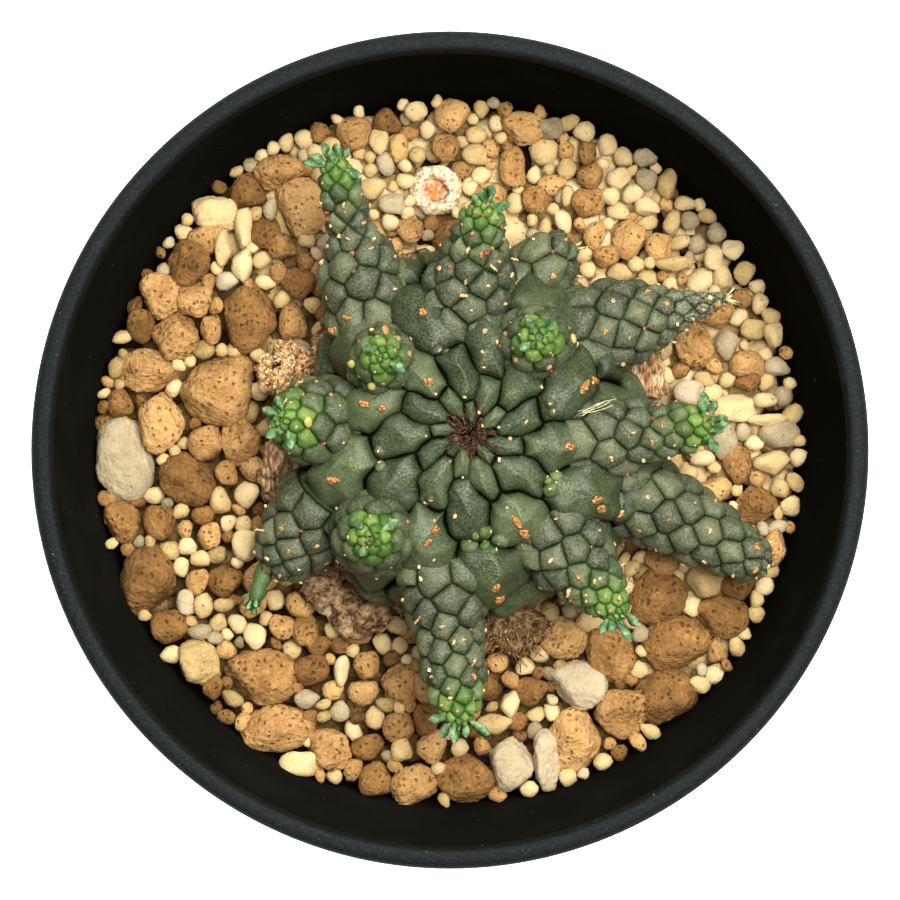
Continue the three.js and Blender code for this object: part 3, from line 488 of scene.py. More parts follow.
def make_copies_tree():
    """Puts a template on every point, turned and sized as the point says, and roughens what it makes."""
    tree = bpy.data.node_groups.new("copies_on_points", "GeometryNodeTree")
    add = partial(add_node, tree)
    inputs = (
        ("Geometry", "Geometry"), ("Templates", "Collection"),
        ("Lump depth", "Float"), ("Lump width", "Float"), ("Crumb depth", "Float"), ("Crumb width", "Float"),
        ("Seed", "Float"), ("Material", "Material"),
    )
    for name, kind in inputs:
        tree.interface.new_socket(name, in_out="INPUT", socket_type=f"NodeSocket{kind}")
    tree.interface.new_socket("Geometry", in_out="OUTPUT", socket_type="NodeSocketGeometry")
    given = add("NodeGroupInput").outputs
    templates = add("GeometryNodeCollectionInfo", {
        "Collection": given["Templates"],
        "Separate Children": True,
        "Reset Children": True,
    })
    variant, turn, size = (
        add("GeometryNodeInputNamedAttribute", {"Name": key}, data_type=kind)
        for key, kind in (("variant", "INT"), ("turn", "FLOAT_VECTOR"), ("size", "FLOAT_VECTOR"))
    )
    copies = add("GeometryNodeInstanceOnPoints", {
        "Points": given["Geometry"],
        "Instance": templates,
        "Pick Instance": True,
        "Instance Index": variant,
        "Rotation": turn,
        "Scale": size,
    })
    real = add("GeometryNodeRealizeInstances", {0: copies})
    place = add("GeometryNodeInputPosition")
    normal = add("GeometryNodeInputNormal")
    moved = real
    for layer in ("Lump", "Crumb"):
        scale = add("ShaderNodeMath", {0: 1.0, 1: given[f"{layer} width"]}, operation="DIVIDE")
        field = {"Vector": place, "W": given["Seed"], "Scale": scale, "Detail": 2.0}
        wave = add("ShaderNodeTexNoise", field, noise_dimensions="4D")
        swing = add("ShaderNodeMath", {0: wave, 1: 0.5}, operation="SUBTRACT")
        push = add("ShaderNodeMath", {0: swing, 1: given[f"{layer} depth"]}, operation="MULTIPLY")
        offset = add("ShaderNodeVectorMath", {0: normal, "Scale": push}, operation="SCALE")
        moved = add("GeometryNodeSetPosition", {"Geometry": moved, "Offset": offset})
    smooth = add("GeometryNodeSetShadeSmooth", {"Geometry": moved})
    painted = add("GeometryNodeSetMaterial", {"Geometry": smooth, "Material": given["Material"]})
    add("NodeGroupOutput", {0: painted})
    return tree


copies_tree = make_copies_tree()


def make_templates(name, shapes):
    """Shapes that are 2 units across, kept in a collection until their copies are made."""
    collection = bpy.data.collections.new(name)
    for i, (points, faces) in enumerate(shapes):
        mesh = bpy.data.meshes.new(f"{name}_{i:02d}")
        mesh.from_pydata([tuple(point) for point in points], [], faces)
        collection.objects.link(bpy.data.objects.new(f"{name}_{i:02d}", mesh))
    bpy.context.scene.collection.children.link(collection)
    return collection


def drop_templates(collection):
    for template in list(collection.objects):
        bpy.data.objects.remove(template)
    bpy.data.collections.remove(collection)


class Copies:
    """Places for the copies of a few templates: each has a turn, three half sizes and a tone of its own."""

    def __init__(self):
        self.rows = []

    def add(self, place, turn, size, tone=0.5, variant=0, young=0.0):
        size = np.broadcast_to(np.asarray(size, float), (3,))
        self.rows.append((np.asarray(place, float), np.asarray(turn, float), size, tone, variant, young))

    def make(self, name, templates, material, slot, *nodes, lump=(0.0, 1.0), crumb=(0.0, 1.0), seed=0.0):
        """Makes and dresses the copies. The lump and the crumb are a depth and a width in millimetres."""
        places, turns, sizes, tones, variants, youths = (np.array(column) for column in zip(*self.rows))
        piece = add_mesh(name, places, [], {
            "turn": turns,
            "size": sizes * MM,
            "tone": tones.astype(float),
            "variant": (variants % len(templates.objects)).astype(np.int32),
            "young": youths.astype(float),
        })
        modifier = piece.modifiers.new("copies", "NODES")
        modifier.node_group = copies_tree
        inputs = {
            "Templates": templates,
            "Lump depth": lump[0] * MM,
            "Lump width": lump[1] * MM,
            "Crumb depth": crumb[0] * MM,
            "Crumb width": crumb[1] * MM,
            "Seed": seed,
            "Material": material,
        }
        for item in copies_tree.interface.items_tree:
            if item.in_out == "INPUT" and item.name in inputs:
                modifier[item.identifier] = inputs[item.name]
        bake_modifiers(piece)
        dress(piece, material, slot, *nodes)


def ball(level, cuts=0, seed=0, softness=0.08):
    """A ball with its sides cut flat by that many planes, with rounded edges between them."""
    made = bmesh.new()
    bmesh.ops.create_icosphere(made, subdivisions=level, radius=1)
    points = np.array([vertex.co[:] for vertex in made.verts])
    faces = [tuple(vertex.index for vertex in face.verts) for face in made.faces]
    made.free()
    if cuts:
        rng = seeded(17, seed, cuts)
        planes = unit(rng.normal(size=(cuts, 3)))
        depths = 0.6 + 0.4 * rng.random(cuts)
        facing = np.maximum(points @ planes.T, 1e-3)
        reach = depths / facing
        soft = -softness * np.log(np.exp(-reach / softness).sum(axis=1) + np.exp(-1.05 / softness))
        points = points * soft[:, None]
        points -= (points.max(axis=0) + points.min(axis=0)) / 2
        points /= np.abs(points).max(axis=0)
    return points, faces


def turn_to(aim, spin=0.0):
    """The turn that points a template's Z axis along aim."""
    quaternion = Vector(aim).to_track_quat("Z", "Y") @ Matrix.Rotation(spin, 3, "Z").to_quaternion()
    return tuple(quaternion.to_euler())


def turn_of(way, out):
    """The turn of a template whose X axis points along way and whose Z axis points out."""
    return tuple(Matrix(np.stack([way, np.cross(out, way), out], axis=1).tolist()).to_euler())


def roughen(piece, *layers):
    """Pushes each point in or out along its normal, by noise layers of a depth and a width in millimetres."""
    mesh = piece.data
    points = np.zeros(len(mesh.vertices) * 3, np.float32)
    normals = np.zeros(len(mesh.vertices) * 3, np.float32)
    mesh.vertices.foreach_get("co", points)
    mesh.vertex_normals.foreach_get("vector", normals)
    points, normals = points.reshape(-1, 3), normals.reshape(-1, 3)
    spots = [Vector(point) for point in points / MM]
    push = sum(depth * np.array([noise.noise(spot / width) for spot in spots]) for depth, width in layers)
    mesh.vertices.foreach_set("co", (points + normals * push[:, None] * MM).astype(np.float32).ravel())
    mesh.update()


# The pot

POT_SIDES = 192
POT_HEIGHT = 90
FOOT_RADIUS = 37.5
WALL_TOP_RADIUS = 51.5
WALL = 1.5
DRAIN_RADIUS = 4
DRAIN_CIRCLE = 22
DRAIN_CUT = 6
BASE_UNDERSIDE = 2.5
BASE_TOP = 4
BASE_FILLET = 1
RIM_RADIUS = 52.5
OUTER_LEVELS = (12, 30, 50, 70, 85.2)
INNER_LEVELS = (86.5, 84, 70, 50, 30, 10)
# The rounded edges of the foot ring and the rim: middle, radius, first and last angle, and points
FOOT_ARCS = (((34.1, 0.6), 0.6, 200, 270, 4), ((36.9, 0.7), 0.7, 270, 352, 5))
UNDER_RIM_ARC = ((51.9, 86.3), 0.6, 250, 360, 5)
RIM_ARCS = (((51.3, 88.8), 1.2, 0, 90, 8), ((50.7, 89.2), 0.8, 90, 180, 6))


def pot_inner_radius(z):
    return FOOT_RADIUS + (WALL_TOP_RADIUS - FOOT_RADIUS) * z / POT_HEIGHT - WALL


def arc(middle, radius, start, stop, count):
    angles = np.radians(np.linspace(start, stop, count))
    return [(middle[0] + radius * math.cos(a), middle[1] + radius * math.sin(a)) for a in angles]


def make_pot():
    """A lathed pot with a rolled rim and a foot ring, then seven drain holes cut through its base."""
    profile = [(0, BASE_UNDERSIDE), (32.3, BASE_UNDERSIDE), (32.9, 2.2), (33.3, 0.6)]
    for edge in FOOT_ARCS:
        profile += arc(*edge)
    profile += [(pot_inner_radius(z) + WALL, z) for z in OUTER_LEVELS]
    profile += arc(*UNDER_RIM_ARC) + [(RIM_RADIUS, 87.6)]
    for edge in RIM_ARCS:
        profile += arc(*edge)
    profile += [(pot_inner_radius(z) + 0.02, z) for z in INNER_LEVELS]
    fillet_middle = (pot_inner_radius(BASE_TOP) - BASE_FILLET, BASE_TOP + BASE_FILLET)
    profile += arc(fillet_middle, BASE_FILLET, 0, -90, 4) + [(0, BASE_TOP)]
    pot = lathe("pot_moulded", profile, POT_SIDES)
    turns = np.arange(6) * math.pi / 3
    spots = [(0, 0)] + [(DRAIN_CIRCLE * math.cos(t), DRAIN_CIRCLE * math.sin(t)) for t in turns]
    cutters = bmesh.new()
    for x, y in spots:
        place = Matrix.Translation((x * MM, y * MM, DRAIN_CUT / 2 * MM))
        sizes = {"radius1": DRAIN_RADIUS * MM, "radius2": DRAIN_RADIUS * MM, "depth": DRAIN_CUT * MM}
        bmesh.ops.create_cone(cutters, cap_ends=True, segments=40, matrix=place, **sizes)
    mesh = bpy.data.meshes.new("drain_cutter")
    cutters.to_mesh(mesh)
    cutters.free()
    cutter = link_object("drain_cutter", mesh)
    cut = pot.modifiers.new("drains", "BOOLEAN")
    cut.operation = "DIFFERENCE"
    cut.solver = "EXACT"
    cut.object = cutter
    bake_modifiers(pot)
    bpy.data.objects.remove(cutter)
    pot.data.shade_smooth()
    pot.data.set_sharp_from_angle(angle=math.radians(40))
    dress(pot, pot_plastic, "pot", "pot")


make_pot()

# Tubercles: pads round spiral centres, on a plane of (turn, climb) that is rolled round the body


def cell_outline(rise, a, b):
    """The six corners round a tubercle's middle. Cell n touches n±a, n±b and n±(a+b)."""
    va, vb, vc = (np.array([wrap(-GOLDEN_ANGLE * k), rise * k]) for k in (a, b, a + b))
    corners = [(va + vc) / 3, (vb + vc) / 3, (vb - va) / 3, (va - vb) / 3, (-vc - vb) / 3, (-vc - va) / 3]
    corners.sort(key=lambda corner: math.atan2(corner[1], corner[0]))
    return np.array(corners)


def cut_outline(outline, away):
    """The part of an outline that is nearer to its own middle than to a neighbour that is away."""
    limit = away @ away / 2
    kept = []
    for first, second in zip(outline, outline[1:] + outline[:1]):
        a, b = first @ away - limit, second @ away - limit
        if a <= 0:
            kept.append(first)
        if (a < 0 < b) or (b < 0 < a):
            kept.append(first + (second - first) * a / (a - b))
    return kept


def nearest_outlines(angles, climbs, low, high, reach=34):
    """For each centre, the outline of the area that is nearer to it than to any other centre."""
    outlines = []
    for n, (angle, climb) in enumerate(zip(angles, climbs)):
        corners = ((-1, low), (1, low), (1, high), (-1, high))
        outline = [np.array([side * math.pi, edge - climb]) for side, edge in corners]
        others = [m for m in range(max(0, n - reach), min(len(angles), n + reach + 1)) if m != n]
        aways = [np.array([wrap(angles[m] - angle), climbs[m] - climb]) for m in others]
        aways += [away - [math.copysign(2 * math.pi, away[0]), 0] for away in aways]
        aways.sort(key=lambda away: away @ away)
        for away in aways:
            outline = cut_outline(outline, away)
        outlines.append(np.array(outline))
    return outlines


def polygon_middle(outline):
    """The centre of area of an outline."""
    x, y = outline[:, 0], outline[:, 1]
    next_x, next_y = np.roll(x, -1), np.roll(y, -1)
    turned = x * next_y - next_x * y
    area = turned.sum() / 2
    return np.array([((x + next_x) * turned).sum(), ((y + next_y) * turned).sum()]) / (6 * area)


def split_outline(outline, climb, width_at, spacing):
    """The outline with its sides divided into pieces of about the spacing, in millimetres."""
    points = []
    for first, second in zip(outline, np.roll(outline, -1, axis=0)):
        side = np.linalg.norm(second - first) * width_at(climb + (first[1] + second[1]) / 2)
        splits = max(1, round(float(side) / spacing))
        points += [first + (second - first) * i / splits for i in range(splits)]
    return np.array(points)


def grow_pads(name, surface, pads, width_at, spacing, shares, shape, values, poles):
    """A closed skin of raised pads that share their edges.

    Each pad is (number, angle, climb, outline). shape(pad, share, across, along) gives the lift at a
    share of the way out from the pad's middle, and values(...) gives the attributes there.
    """
    parts = Parts()
    for pad in pads:
        _, angle, climb, outline = pad
        edge = split_outline(outline, climb, width_at, spacing)
        count = len(edge)
        faces = ring_faces(len(shares), count)
        last, middle = (len(shares) - 1) * count, len(shares) * count
        faces += [(last + i, last + (i + 1) % count, middle) for i in range(count)]
        offsets = np.concatenate([share * edge for share in shares] + [[[0.0, 0.0]]])
        share = np.concatenate([np.full(count, s) for s in shares] + [[0.0]])
        half = np.abs(outline).max(axis=0)
        across, along = offsets[:, 0] / half[0], offsets[:, 1] / half[1]
        points = surface(angle + offsets[:, 0], climb + offsets[:, 1], shape(pad, share, across, along))
        parts.add(points, faces, rim=share, **values(pad, share, across, along))
    piece = parts.make(name)

    def weld(made):
        bmesh.ops.remove_doubles(made, verts=made.verts, dist=0.02 * MM)
        close_rims(made, poles)

    change_mesh(piece, weld)
    piece.data.shade_smooth()
    return piece


def one_point(surface, angle, climb, lift):
    """The single point of a surface at a turn, a climb and a lift."""
    return surface(*np.array([[angle], [climb], [lift]], float))[0]


def close_rims(made, poles):
    """Closes each small gap, and each open end by a fan to the pole nearest to it, which has its amount of
    painted groove shade; a small gap's middle takes all of it.
    """
    open_edges = {edge for edge in made.edges if edge.is_boundary}
    while open_edges:
        edge = open_edges.pop()
        rim, edges = [edge.verts[0], edge.verts[1]], [edge]
        while True:
            linked = [e for e in rim[-1].link_edges if e in open_edges]
            if not linked:
                break
            open_edges.discard(linked[0])
            edges.append(linked[0])
            rim.append(linked[0].other_vert(rim[-1]))
        middle = sum((v.co for v in rim), Vector()) / len(rim)
        nearest, shade = min(poles, key=lambda pole: (Vector(pole[0]) * MM - middle).length)
        small = len(rim) < 8
        pole = made.verts.new(middle if small else Vector(nearest) * MM)
        pole[made.verts.layers.float["rim"]] = 1.0 if small else shade
        for edge in edges:
            made.faces.new((edge.verts[0], edge.verts[1], pole))


# The head

HEAD_RADIUS = 23.5
HEAD_LEVEL = 78
HEAD_RISE = 13
HEAD_UNDERSIDE = 6
HEAD_CLIMB = 0.0654
HEAD_OFFSET = -2.451
HEAD_TURN = math.radians(32.4)
HEAD_FIRST = -4
HEAD_LAST = 45
HEAD_GROOVE = 0.9
HEAD_SPACING = 0.42
HEAD_DIP_DEPTH = 1.8
HEAD_DIP_WIDTH = 5
HEAD_INSIDE = 74.45
# Where the photograph shows the head drawn in over the bark: direction, half width and depth
HEAD_DENTS = ((2.74, 0.24, 3.4), (0.31, 0.17, 2.2), (-2.98, 0.13, 1.2), (-1.15, 0.2, 1.8))
HEAD_SHARES = (1, 0.975, 0.95, 0.91, 0.85, 0.77, 0.67, 0.55, 0.41, 0.26, 0.12)


def bend(points):
    """Small bends that keep the pads from looking ruled."""
    x, y, z = points[..., 0], points[..., 1], points[..., 2]
    shift = np.stack([
        0.34 * np.sin(0.83 * y + 1.3) + 0.2 * np.sin(1.5 * y + 0.9 * x),
        0.34 * np.sin(0.79 * x + 0.4) + 0.2 * np.sin(1.6 * x - 0.8 * y + 2),
        0.12 * np.sin(0.9 * x + 0.7 * y),
    ], axis=-1)
    flat = np.hypot(x - PLANT[0], y - PLANT[1])
    return points + shift * smooth_step(flat, 3, 9)[..., None]


def head_surface(angle, climb, lift):
    fall = 2 * np.arctan(np.exp(climb + HEAD_OFFSET))
    flat = HEAD_RADIUS * np.sin(fall)
    dent = 0
    for side, width, depth in HEAD_DENTS:
        turned = np.angle(np.exp(1j * (angle - side)))
        dent = dent + depth * np.exp(-((turned / width) ** 2))
    drop = np.where(fall < math.pi / 2, HEAD_RISE, HEAD_UNDERSIDE)
    dip = HEAD_DIP_DEPTH * np.exp(-((flat / HEAD_DIP_WIDTH) ** 2))
    out, up = np.sin(fall) * HEAD_RISE / HEAD_RADIUS, np.cos(fall)
    length = np.hypot(out, up)
    size = np.minimum(1, 0.25 + 1.8 * np.exp(climb + HEAD_OFFSET))
    raised = (lift - HEAD_GROOVE) * size
    # The youngest pads draw in to the growing point, and are long and narrow
    drawn = flat * (1 - 0.4 * np.exp(-((flat / 5.5) ** 2)))
    radius = drawn + raised * out / length - dent * smooth_step(flat, 13, 21)
    points = np.stack([
        PLANT[0] + radius * np.cos(angle),
        PLANT[1] + radius * np.sin(angle),
        HEAD_LEVEL + drop * np.cos(fall) - dip + raised * up / length,
    ], axis=-1)
    return bend(points)


def head_width_at(climb):
    return HEAD_RADIUS * math.sin(2 * math.atan(math.exp(climb + HEAD_OFFSET)))


def head_shape(pad, share, across, along):
    """A rounded edge, then a blunt cone with a keel, whose inner tip stands up."""
    rng = seeded(12, pad[0] + 20)
    tall = 0.9 + 0.25 * rng.random()
    body = 1.15 * (1 - share**7)
    tent = 1 - np.minimum(1, np.abs(across) ** 0.8)
    cone = (1 - share**1.3) * (0.85 + 0.8 * tent) * tall
    lean = -0.55 * along * (1 - share**3)
    groove = 0.45 * smooth_step(share, 0.93, 1.0)
    return body + cone + lean - groove


def head_values(pad, share, across, along):
    rng = seeded(31, pad[0] + 20)
    # The flecks gather along the keel, as wear and as a painted highlight on the ridge, and at the dried
    # inner tip
    keel = np.exp(-((across / 0.22) ** 2)) * (1 - share**4)
    inner = smooth_step(-along, 0.0, 0.8) * (1 - share**6)
    worn = np.clip(0.2 + 1.1 * keel * (0.4 + 0.6 * inner) + 0.35 * inner, 0, 1.4)
    return {"tone": rng.random(), "young": 0.0, "worn": worn}


def make_head():
    outline = cell_outline(HEAD_CLIMB, 5, 8)
    pads = []
    for n in range(HEAD_FIRST, HEAD_LAST + 1):
        pads.append((n, HEAD_TURN - GOLDEN_ANGLE * n, HEAD_CLIMB * n, outline))
    # The fan at the growing point takes the full painted groove shade, and the hidden one inside takes half
    poles = [((*PLANT, HEAD_LEVEL + HEAD_RISE - 2.7), 1.0), ((*PLANT, HEAD_INSIDE), 0.5)]
    piece = grow_pads(
        "head_skin", head_surface, pads, head_width_at, HEAD_SPACING, HEAD_SHARES, head_shape, head_values,
        poles,
    )
    roughen(piece, (0.22, 2.6), (0.07, 0.8))
    dress(piece, old_skin, "head_skin", "head")
    return pads


head_pads = make_head()

# The branches: base, tip, arch, radii from tip to base, whether the tip grows, the turn of the first
# pad, and the widths of the pads by the distance from the tip
LEAFY_PADS = ((0, 2, 4, 8, 12), (1.1, 1.7, 2.7, 3.3, 3.8))
UPRIGHT_PADS = ((0, 2, 4, 8), (1.15, 2.2, 3.4, 4.0))
BLUNT_PADS = ((0, 4, 9), (2.5, 3.2, 3.9))
DRY_PADS = ((0, 4, 8, 13), (1.2, 1.9, 2.7, 3.5))
STUB_PADS = ((0, 6), (3.8, 4.4))
BRANCHES = {
    "back_left": (
        (-10.1, 17.6, 81.2), (-14.8, 36.9, 87), 1.2, (1.4, 2.3, 2.5, 2.7, 4.6, 5.4, 5.4),
        True, 20, LEAFY_PADS,
    ),
    "back": (
        (1.8, 17, 84), (4.5, 31.2, 92), 1.2, (1.4, 2.6, 3.5, 4.6, 5.5, 5.6),
        True, 75, LEAFY_PADS,
    ),
    "back_stub": (
        (8.2, 20.4, 79), (15.3, 26.6, 79.6), 0, (2.8, 3.4, 3.6, 3.7),
        False, 140, STUB_PADS,
    ),
    "right_back": (
        (17.6, 15.2, 80.4), (35.4, 19.3, 82), 0.5, (0.9, 1.5, 2.4, 3.8, 5, 5.5, 5.5),
        False, 10, DRY_PADS,
    ),
    "right": (
        (17, 1.4, 84.6), (33.4, 3.1, 88.6), 1, (1.4, 2.6, 3, 3.4, 4.2, 4.8, 4.8),
        True, 50, LEAFY_PADS,
    ),
    "front_right": (
        (22.4, -4.9, 77.6), (40.8, -15, 78.4), 0.8, (2.3, 3.3, 4.1, 4.7, 5.2, 5.3),
        False, 95, BLUNT_PADS,
    ),
    "front_right_short": (
        (13.4, -10.8, 83.4), (21.6, -21, 88), 0.8, (1.4, 2.8, 4.1, 5.2, 5.6),
        True, 130, LEAFY_PADS,
    ),
    "front": (
        (-0.9, -16.2, 82.4), (1.3, -34.9, 86.4), 1, (1.4, 2.9, 3.6, 3.8, 4.1, 5.2, 5.6),
        True, 165, LEAFY_PADS,
    ),
    "front_left": (
        (-16.6, -7.6, 79.6), (-23.2, -16, 77.6), 0.4, (2.8, 4.4, 5.2, 5.6),
        False, 40, BLUNT_PADS,
    ),
    "left": (
        (-15.4, 3.5, 83.4), (-21.2, 3.7, 91.6), 0.6, (1.4, 3.2, 4.6, 5.5, 5.6),
        True, 85, UPRIGHT_PADS,
    ),
    "upright_front_left": (
        (-9.6, -10.2, 83.6), (-9.7, -11, 95.6), 0.3, (1.5, 3.2, 4.5, 5.2, 5.3),
        True, 120, UPRIGHT_PADS,
    ),
    "upright_back_left": (
        (-8.3, 11, 84.6), (-8.6, 11.7, 96), 0.3, (1.4, 2.8, 3.8, 4.3, 4.3),
        True, 0, UPRIGHT_PADS,
    ),
    "upright_back_right": (
        (10.6, 13.3, 84.4), (11, 14, 96.6), 0.3, (1.4, 3, 4.1, 4.7, 4.7),
        True, 60, UPRIGHT_PADS,
    ),
}
BASE_DEPTH = 3
LEAFY_LENGTH = 3.2
GROOVE_LEVEL = 0.22
BRANCH_SPACING = 0.4
BEAD_SPACING = 0.28
BRANCH_SHARES = (1, 0.965, 0.925, 0.85, 0.72, 0.54, 0.3)
BEAD_SHARES = (1, 0.95, 0.86, 0.7, 0.45)


class Branch:
    """The middle line, radius and pads of a branch, by the distance from its tip."""

    def __init__(self, base, tip, arch, radii, leafy, turn, pad_widths):
        start, end = np.array(tip, float), np.array(base, float)
        middle = (start + end) / 2 - [0, 0, 2 * arch]
        t = np.linspace(0, 1, 400)[:, None]
        self.line = (1 - t) ** 2 * start + 2 * t * (1 - t) * middle + t**2 * end
        steps = np.linalg.norm(np.diff(self.line, axis=0), axis=1)
        self.reach = np.concatenate([[0], np.cumsum(steps)])
        self.length = self.reach[-1]
        self.tangents = unit(2 * (1 - t) * (middle - start) + 2 * t * (end - middle))
        self.radii = np.array(radii, float)
        self.leafy = leafy
        self.turn = math.radians(turn)
        self.pad_widths = pad_widths
        upright = abs(end[2] - start[2]) > self.length / math.sqrt(2)
        self.side = np.array([1.0, 0, 0]) if upright else np.array([0, 0, 1.0])
        self.youth_span = (0.5, 6.0) if upright else (0.5, 9.0)
        self.upright = upright
        self.fill_scale()
        self.place_pads()

    def radius_at(self, distance):
        """A smooth curve through the radii, rounded off at the tip."""
        distance = np.asarray(distance, float)
        along = np.clip(distance / self.length, 0, 1) * (len(self.radii) - 1)
        low = np.floor(along).astype(int)
        weight = along - low
        last = len(self.radii) - 1
        p0 = self.radii[np.where(low == 0, low, low - 1)]
        p1 = self.radii[low]
        p2 = self.radii[np.where(low > last - 1, last, low + 1)]
        p3 = self.radii[np.where(low > last - 2, last, low + 2)]
        v0, v1 = (p2 - p0) / 2, (p3 - p1) / 2
        cubic = (2 * p1 - 2 * p2 + v0 + v1) * weight**3 + (-3 * p1 + 3 * p2 - 2 * v0 - v1) * weight**2
        value = cubic + v0 * weight + p1
        round_end = np.minimum(1, distance / self.radii[0])
        return value * np.sqrt(np.maximum(0, 1 - (1 - round_end) ** 2))

    def frame_at(self, distance):
        """The point on the middle line, and the ways towards the tip, across and up."""
        distance = np.asarray(distance, float)
        inside = np.clip(distance, 0, self.length)
        tipward = unit(-np.stack([np.interp(inside, self.reach, self.tangents[:, k]) for k in range(3)], -1))
        point = np.stack([np.interp(inside, self.reach, self.line[:, k]) for k in range(3)], -1)
        point = point - tipward * np.maximum(0, distance - self.length)[..., None]
        across = unit(np.cross(self.side, tipward))
        return point, tipward, across, np.cross(tipward, across)

    def fill_scale(self):
        distances = np.arange(0.3 * self.radii[0], self.length + BASE_DEPTH + 0.2, 0.1)
        slants = np.hypot(np.diff(distances), np.diff(self.radius_at(distances)))
        middles = self.radius_at((distances[1:] + distances[:-1]) / 2)
        self.scale_distance = distances
        self.scale_climb = np.concatenate([[0], np.cumsum(slants / middles)])

    def distance_at(self, climb):
        climb = np.asarray(climb, float)
        inside = np.interp(climb, self.scale_climb, self.scale_distance)
        return np.where(climb <= 0, self.scale_distance[0] * np.exp(2 * np.minimum(climb, 0)), inside)

    def width_at(self, climb):
        return float(self.radius_at(self.distance_at(climb)))

    def place_pads(self):
        """A golden-angle spiral of pads, each as wide as pads are at its distance from the tip."""
        climb, climbs = -0.35, []
        last = float(np.interp(self.length + 0.6, self.scale_distance, self.scale_climb))
        while climb < last:
            climbs.append(climb)
            distance = float(self.distance_at(climb))
            radius = float(self.radius_at(distance))
            width = np.interp(distance, *self.pad_widths)
            climb += min(0.24, 0.87 * (width / radius) ** 2 / (2 * math.pi))
        # A little disorder, then a few steps of evening out, as pads that grow against each other do
        rng = seeded(5, len(climbs), int(100 * self.length))
        steps = np.gradient(climbs)
        reach = 0.16 * np.sqrt(2 * math.pi * steps)
        angles = self.turn - GOLDEN_ANGLE * np.arange(len(climbs)) + reach * rng.normal(size=len(climbs))
        climbs = np.array(climbs) + reach * rng.normal(size=len(climbs))
        low = climbs.min() - 0.5
        high = float(np.interp(self.length + 2.4, self.scale_distance, self.scale_climb))
        climbs = np.minimum(climbs, last)
        for _ in range(3):
            outlines = nearest_outlines(angles, climbs, low, high)
            for n, outline in enumerate(outlines):
                shift = polygon_middle(outline)
                angles[n] += shift[0]
                climbs[n] += shift[1]
        outlines = nearest_outlines(angles, climbs, low, high)
        self.pads = list(zip(range(len(climbs)), angles, climbs, outlines))

    def surface(self, angle, climb, lift):
        """The point at a turn and a climb, raised by a share of the radius for every unit of lift."""
        distance = self.distance_at(climb)
        radius = self.radius_at(distance)
        point, tipward, across, up = self.frame_at(distance)
        near = 0.05
        ahead, behind = self.radius_at(distance + near), self.radius_at(np.maximum(0, distance - near))
        growth = (ahead - behind) / (2 * near)
        cos, sin = np.cos(angle)[..., None], np.sin(angle)[..., None]
        out = across * cos + up * sin
        normal = unit(out + tipward * growth[..., None])
        return point + out * radius[..., None] + normal * lift[..., None]

    def spot_on(self, pad, lift):
        """A pad's top, the way out of it and the way towards the tip."""
        _, angle, climb, _ = pad
        top = one_point(self.surface, angle, climb, lift)
        foot = one_point(self.surface, angle, climb, lift - 0.5)
        return top, unit(top - foot), self.frame_at(self.distance_at(climb))[1]

    def youth_at(self, distance):
        """1 at the growing tip of a leafy branch, and 0 where its skin is old."""
        return float(1 - smooth_step(distance, *self.youth_span)) if self.leafy else 0.0


branches = {name: Branch(*row) for name, row in BRANCHES.items()}


def pad_relief(branch, pad):
    """How far a pad stands out of its groove, in millimetres."""
    distance = float(branch.distance_at(pad[2]))
    width = float(np.interp(distance, *branch.pad_widths))
    bold = 1 - 0.2 * branch.upright
    return (0.2 + 0.09 * branch.youth_at(distance)) * width * bold


def make_branch_skins():
    for number, (name, branch) in enumerate(branches.items()):

        def shape(pad, share, across, along):
            relief = pad_relief(branch, pad)
            tall = relief * (0.85 + 0.3 * seeded(77, number, pad[0]).random())
            power = 2.7 + 0.6 * branch.upright - 0.7 * branch.youth_at(float(branch.distance_at(pad[2])))
            lean = -0.3 * relief * along * (1 - share**3)
            point = 0.25 * relief * (1 - np.minimum(1, np.abs(across))) * (1 - share**2)
            groove = 0.21 * smooth_step(share, 0.9, 1.0)
            return tall * (1 - share**power) + point + lean - groove - GROOVE_LEVEL

        def values(pad, share, across, along):
            distance = float(branch.distance_at(pad[2]))
            young = branch.youth_at(distance)
            tipward = 0.2 * smooth_step(-along, -0.2, 1.0) * young**2
            greener = 0.8 * smooth_step(share, 0.55, 1.0) * (young**0.5 - young**2.1)
            tone = seeded(50 + number, pad[0]).random()
            youth = np.clip(young**2.1 + tipward + greener + 0.1 * branch.upright, 0, 1)
            dry = 0.9 * (name == "right_back") * (1 - smooth_step(distance, 4.0, 11.0))
            return {"tone": tone, "young": youth, "worn": 0.4 * (1 - young) + dry}

        def is_bead(pad):
            return branch.leafy and branch.distance_at(pad[2]) < LEAFY_LENGTH

        # Both open ends close with half the painted groove shade
        ends = [(branch.frame_at(LEAFY_LENGTH + 0.2 if branch.leafy else 0.0)[0], 0.5)]
        ends.append((branch.frame_at(branch.length + BASE_DEPTH)[0], 0.5))
        grow = partial(
            grow_pads, surface=branch.surface, width_at=branch.width_at, shape=shape, values=values
        )
        pads = [pad for pad in branch.pads if not is_bead(pad)]
        skin = grow(
            f"branch_{name}_skin", pads=pads, spacing=BRANCH_SPACING, shares=BRANCH_SHARES, poles=ends
        )
        roughen(skin, (0.1, 1.8), (0.04, 0.6))
        dress(skin, grey_skin, "branch_skin", f"branch_{name}")
        if branch.leafy:
            ends = [(branch.frame_at(0.0)[0], 0.5), (branch.frame_at(LEAFY_LENGTH - 0.4)[0], 0.5)]
            pads = [pad for pad in branch.pads if is_bead(pad)]
            tip = grow(
                f"leafy_tip_{name}_beads", pads=pads, spacing=BEAD_SPACING, shares=BEAD_SHARES, poles=ends
            )
            dress(tip, young_skin, "young_skin", f"leafy_tip_{name}")


make_branch_skins()

# The caudex

STUMP_FOOT = np.array([-17.5, 8.8, 70.4])
STUMP_TOP = np.array([-22.2, 10.8, 76.6])
STUMP_RADIUS = 3.7
BARK_VOXEL = 0.42
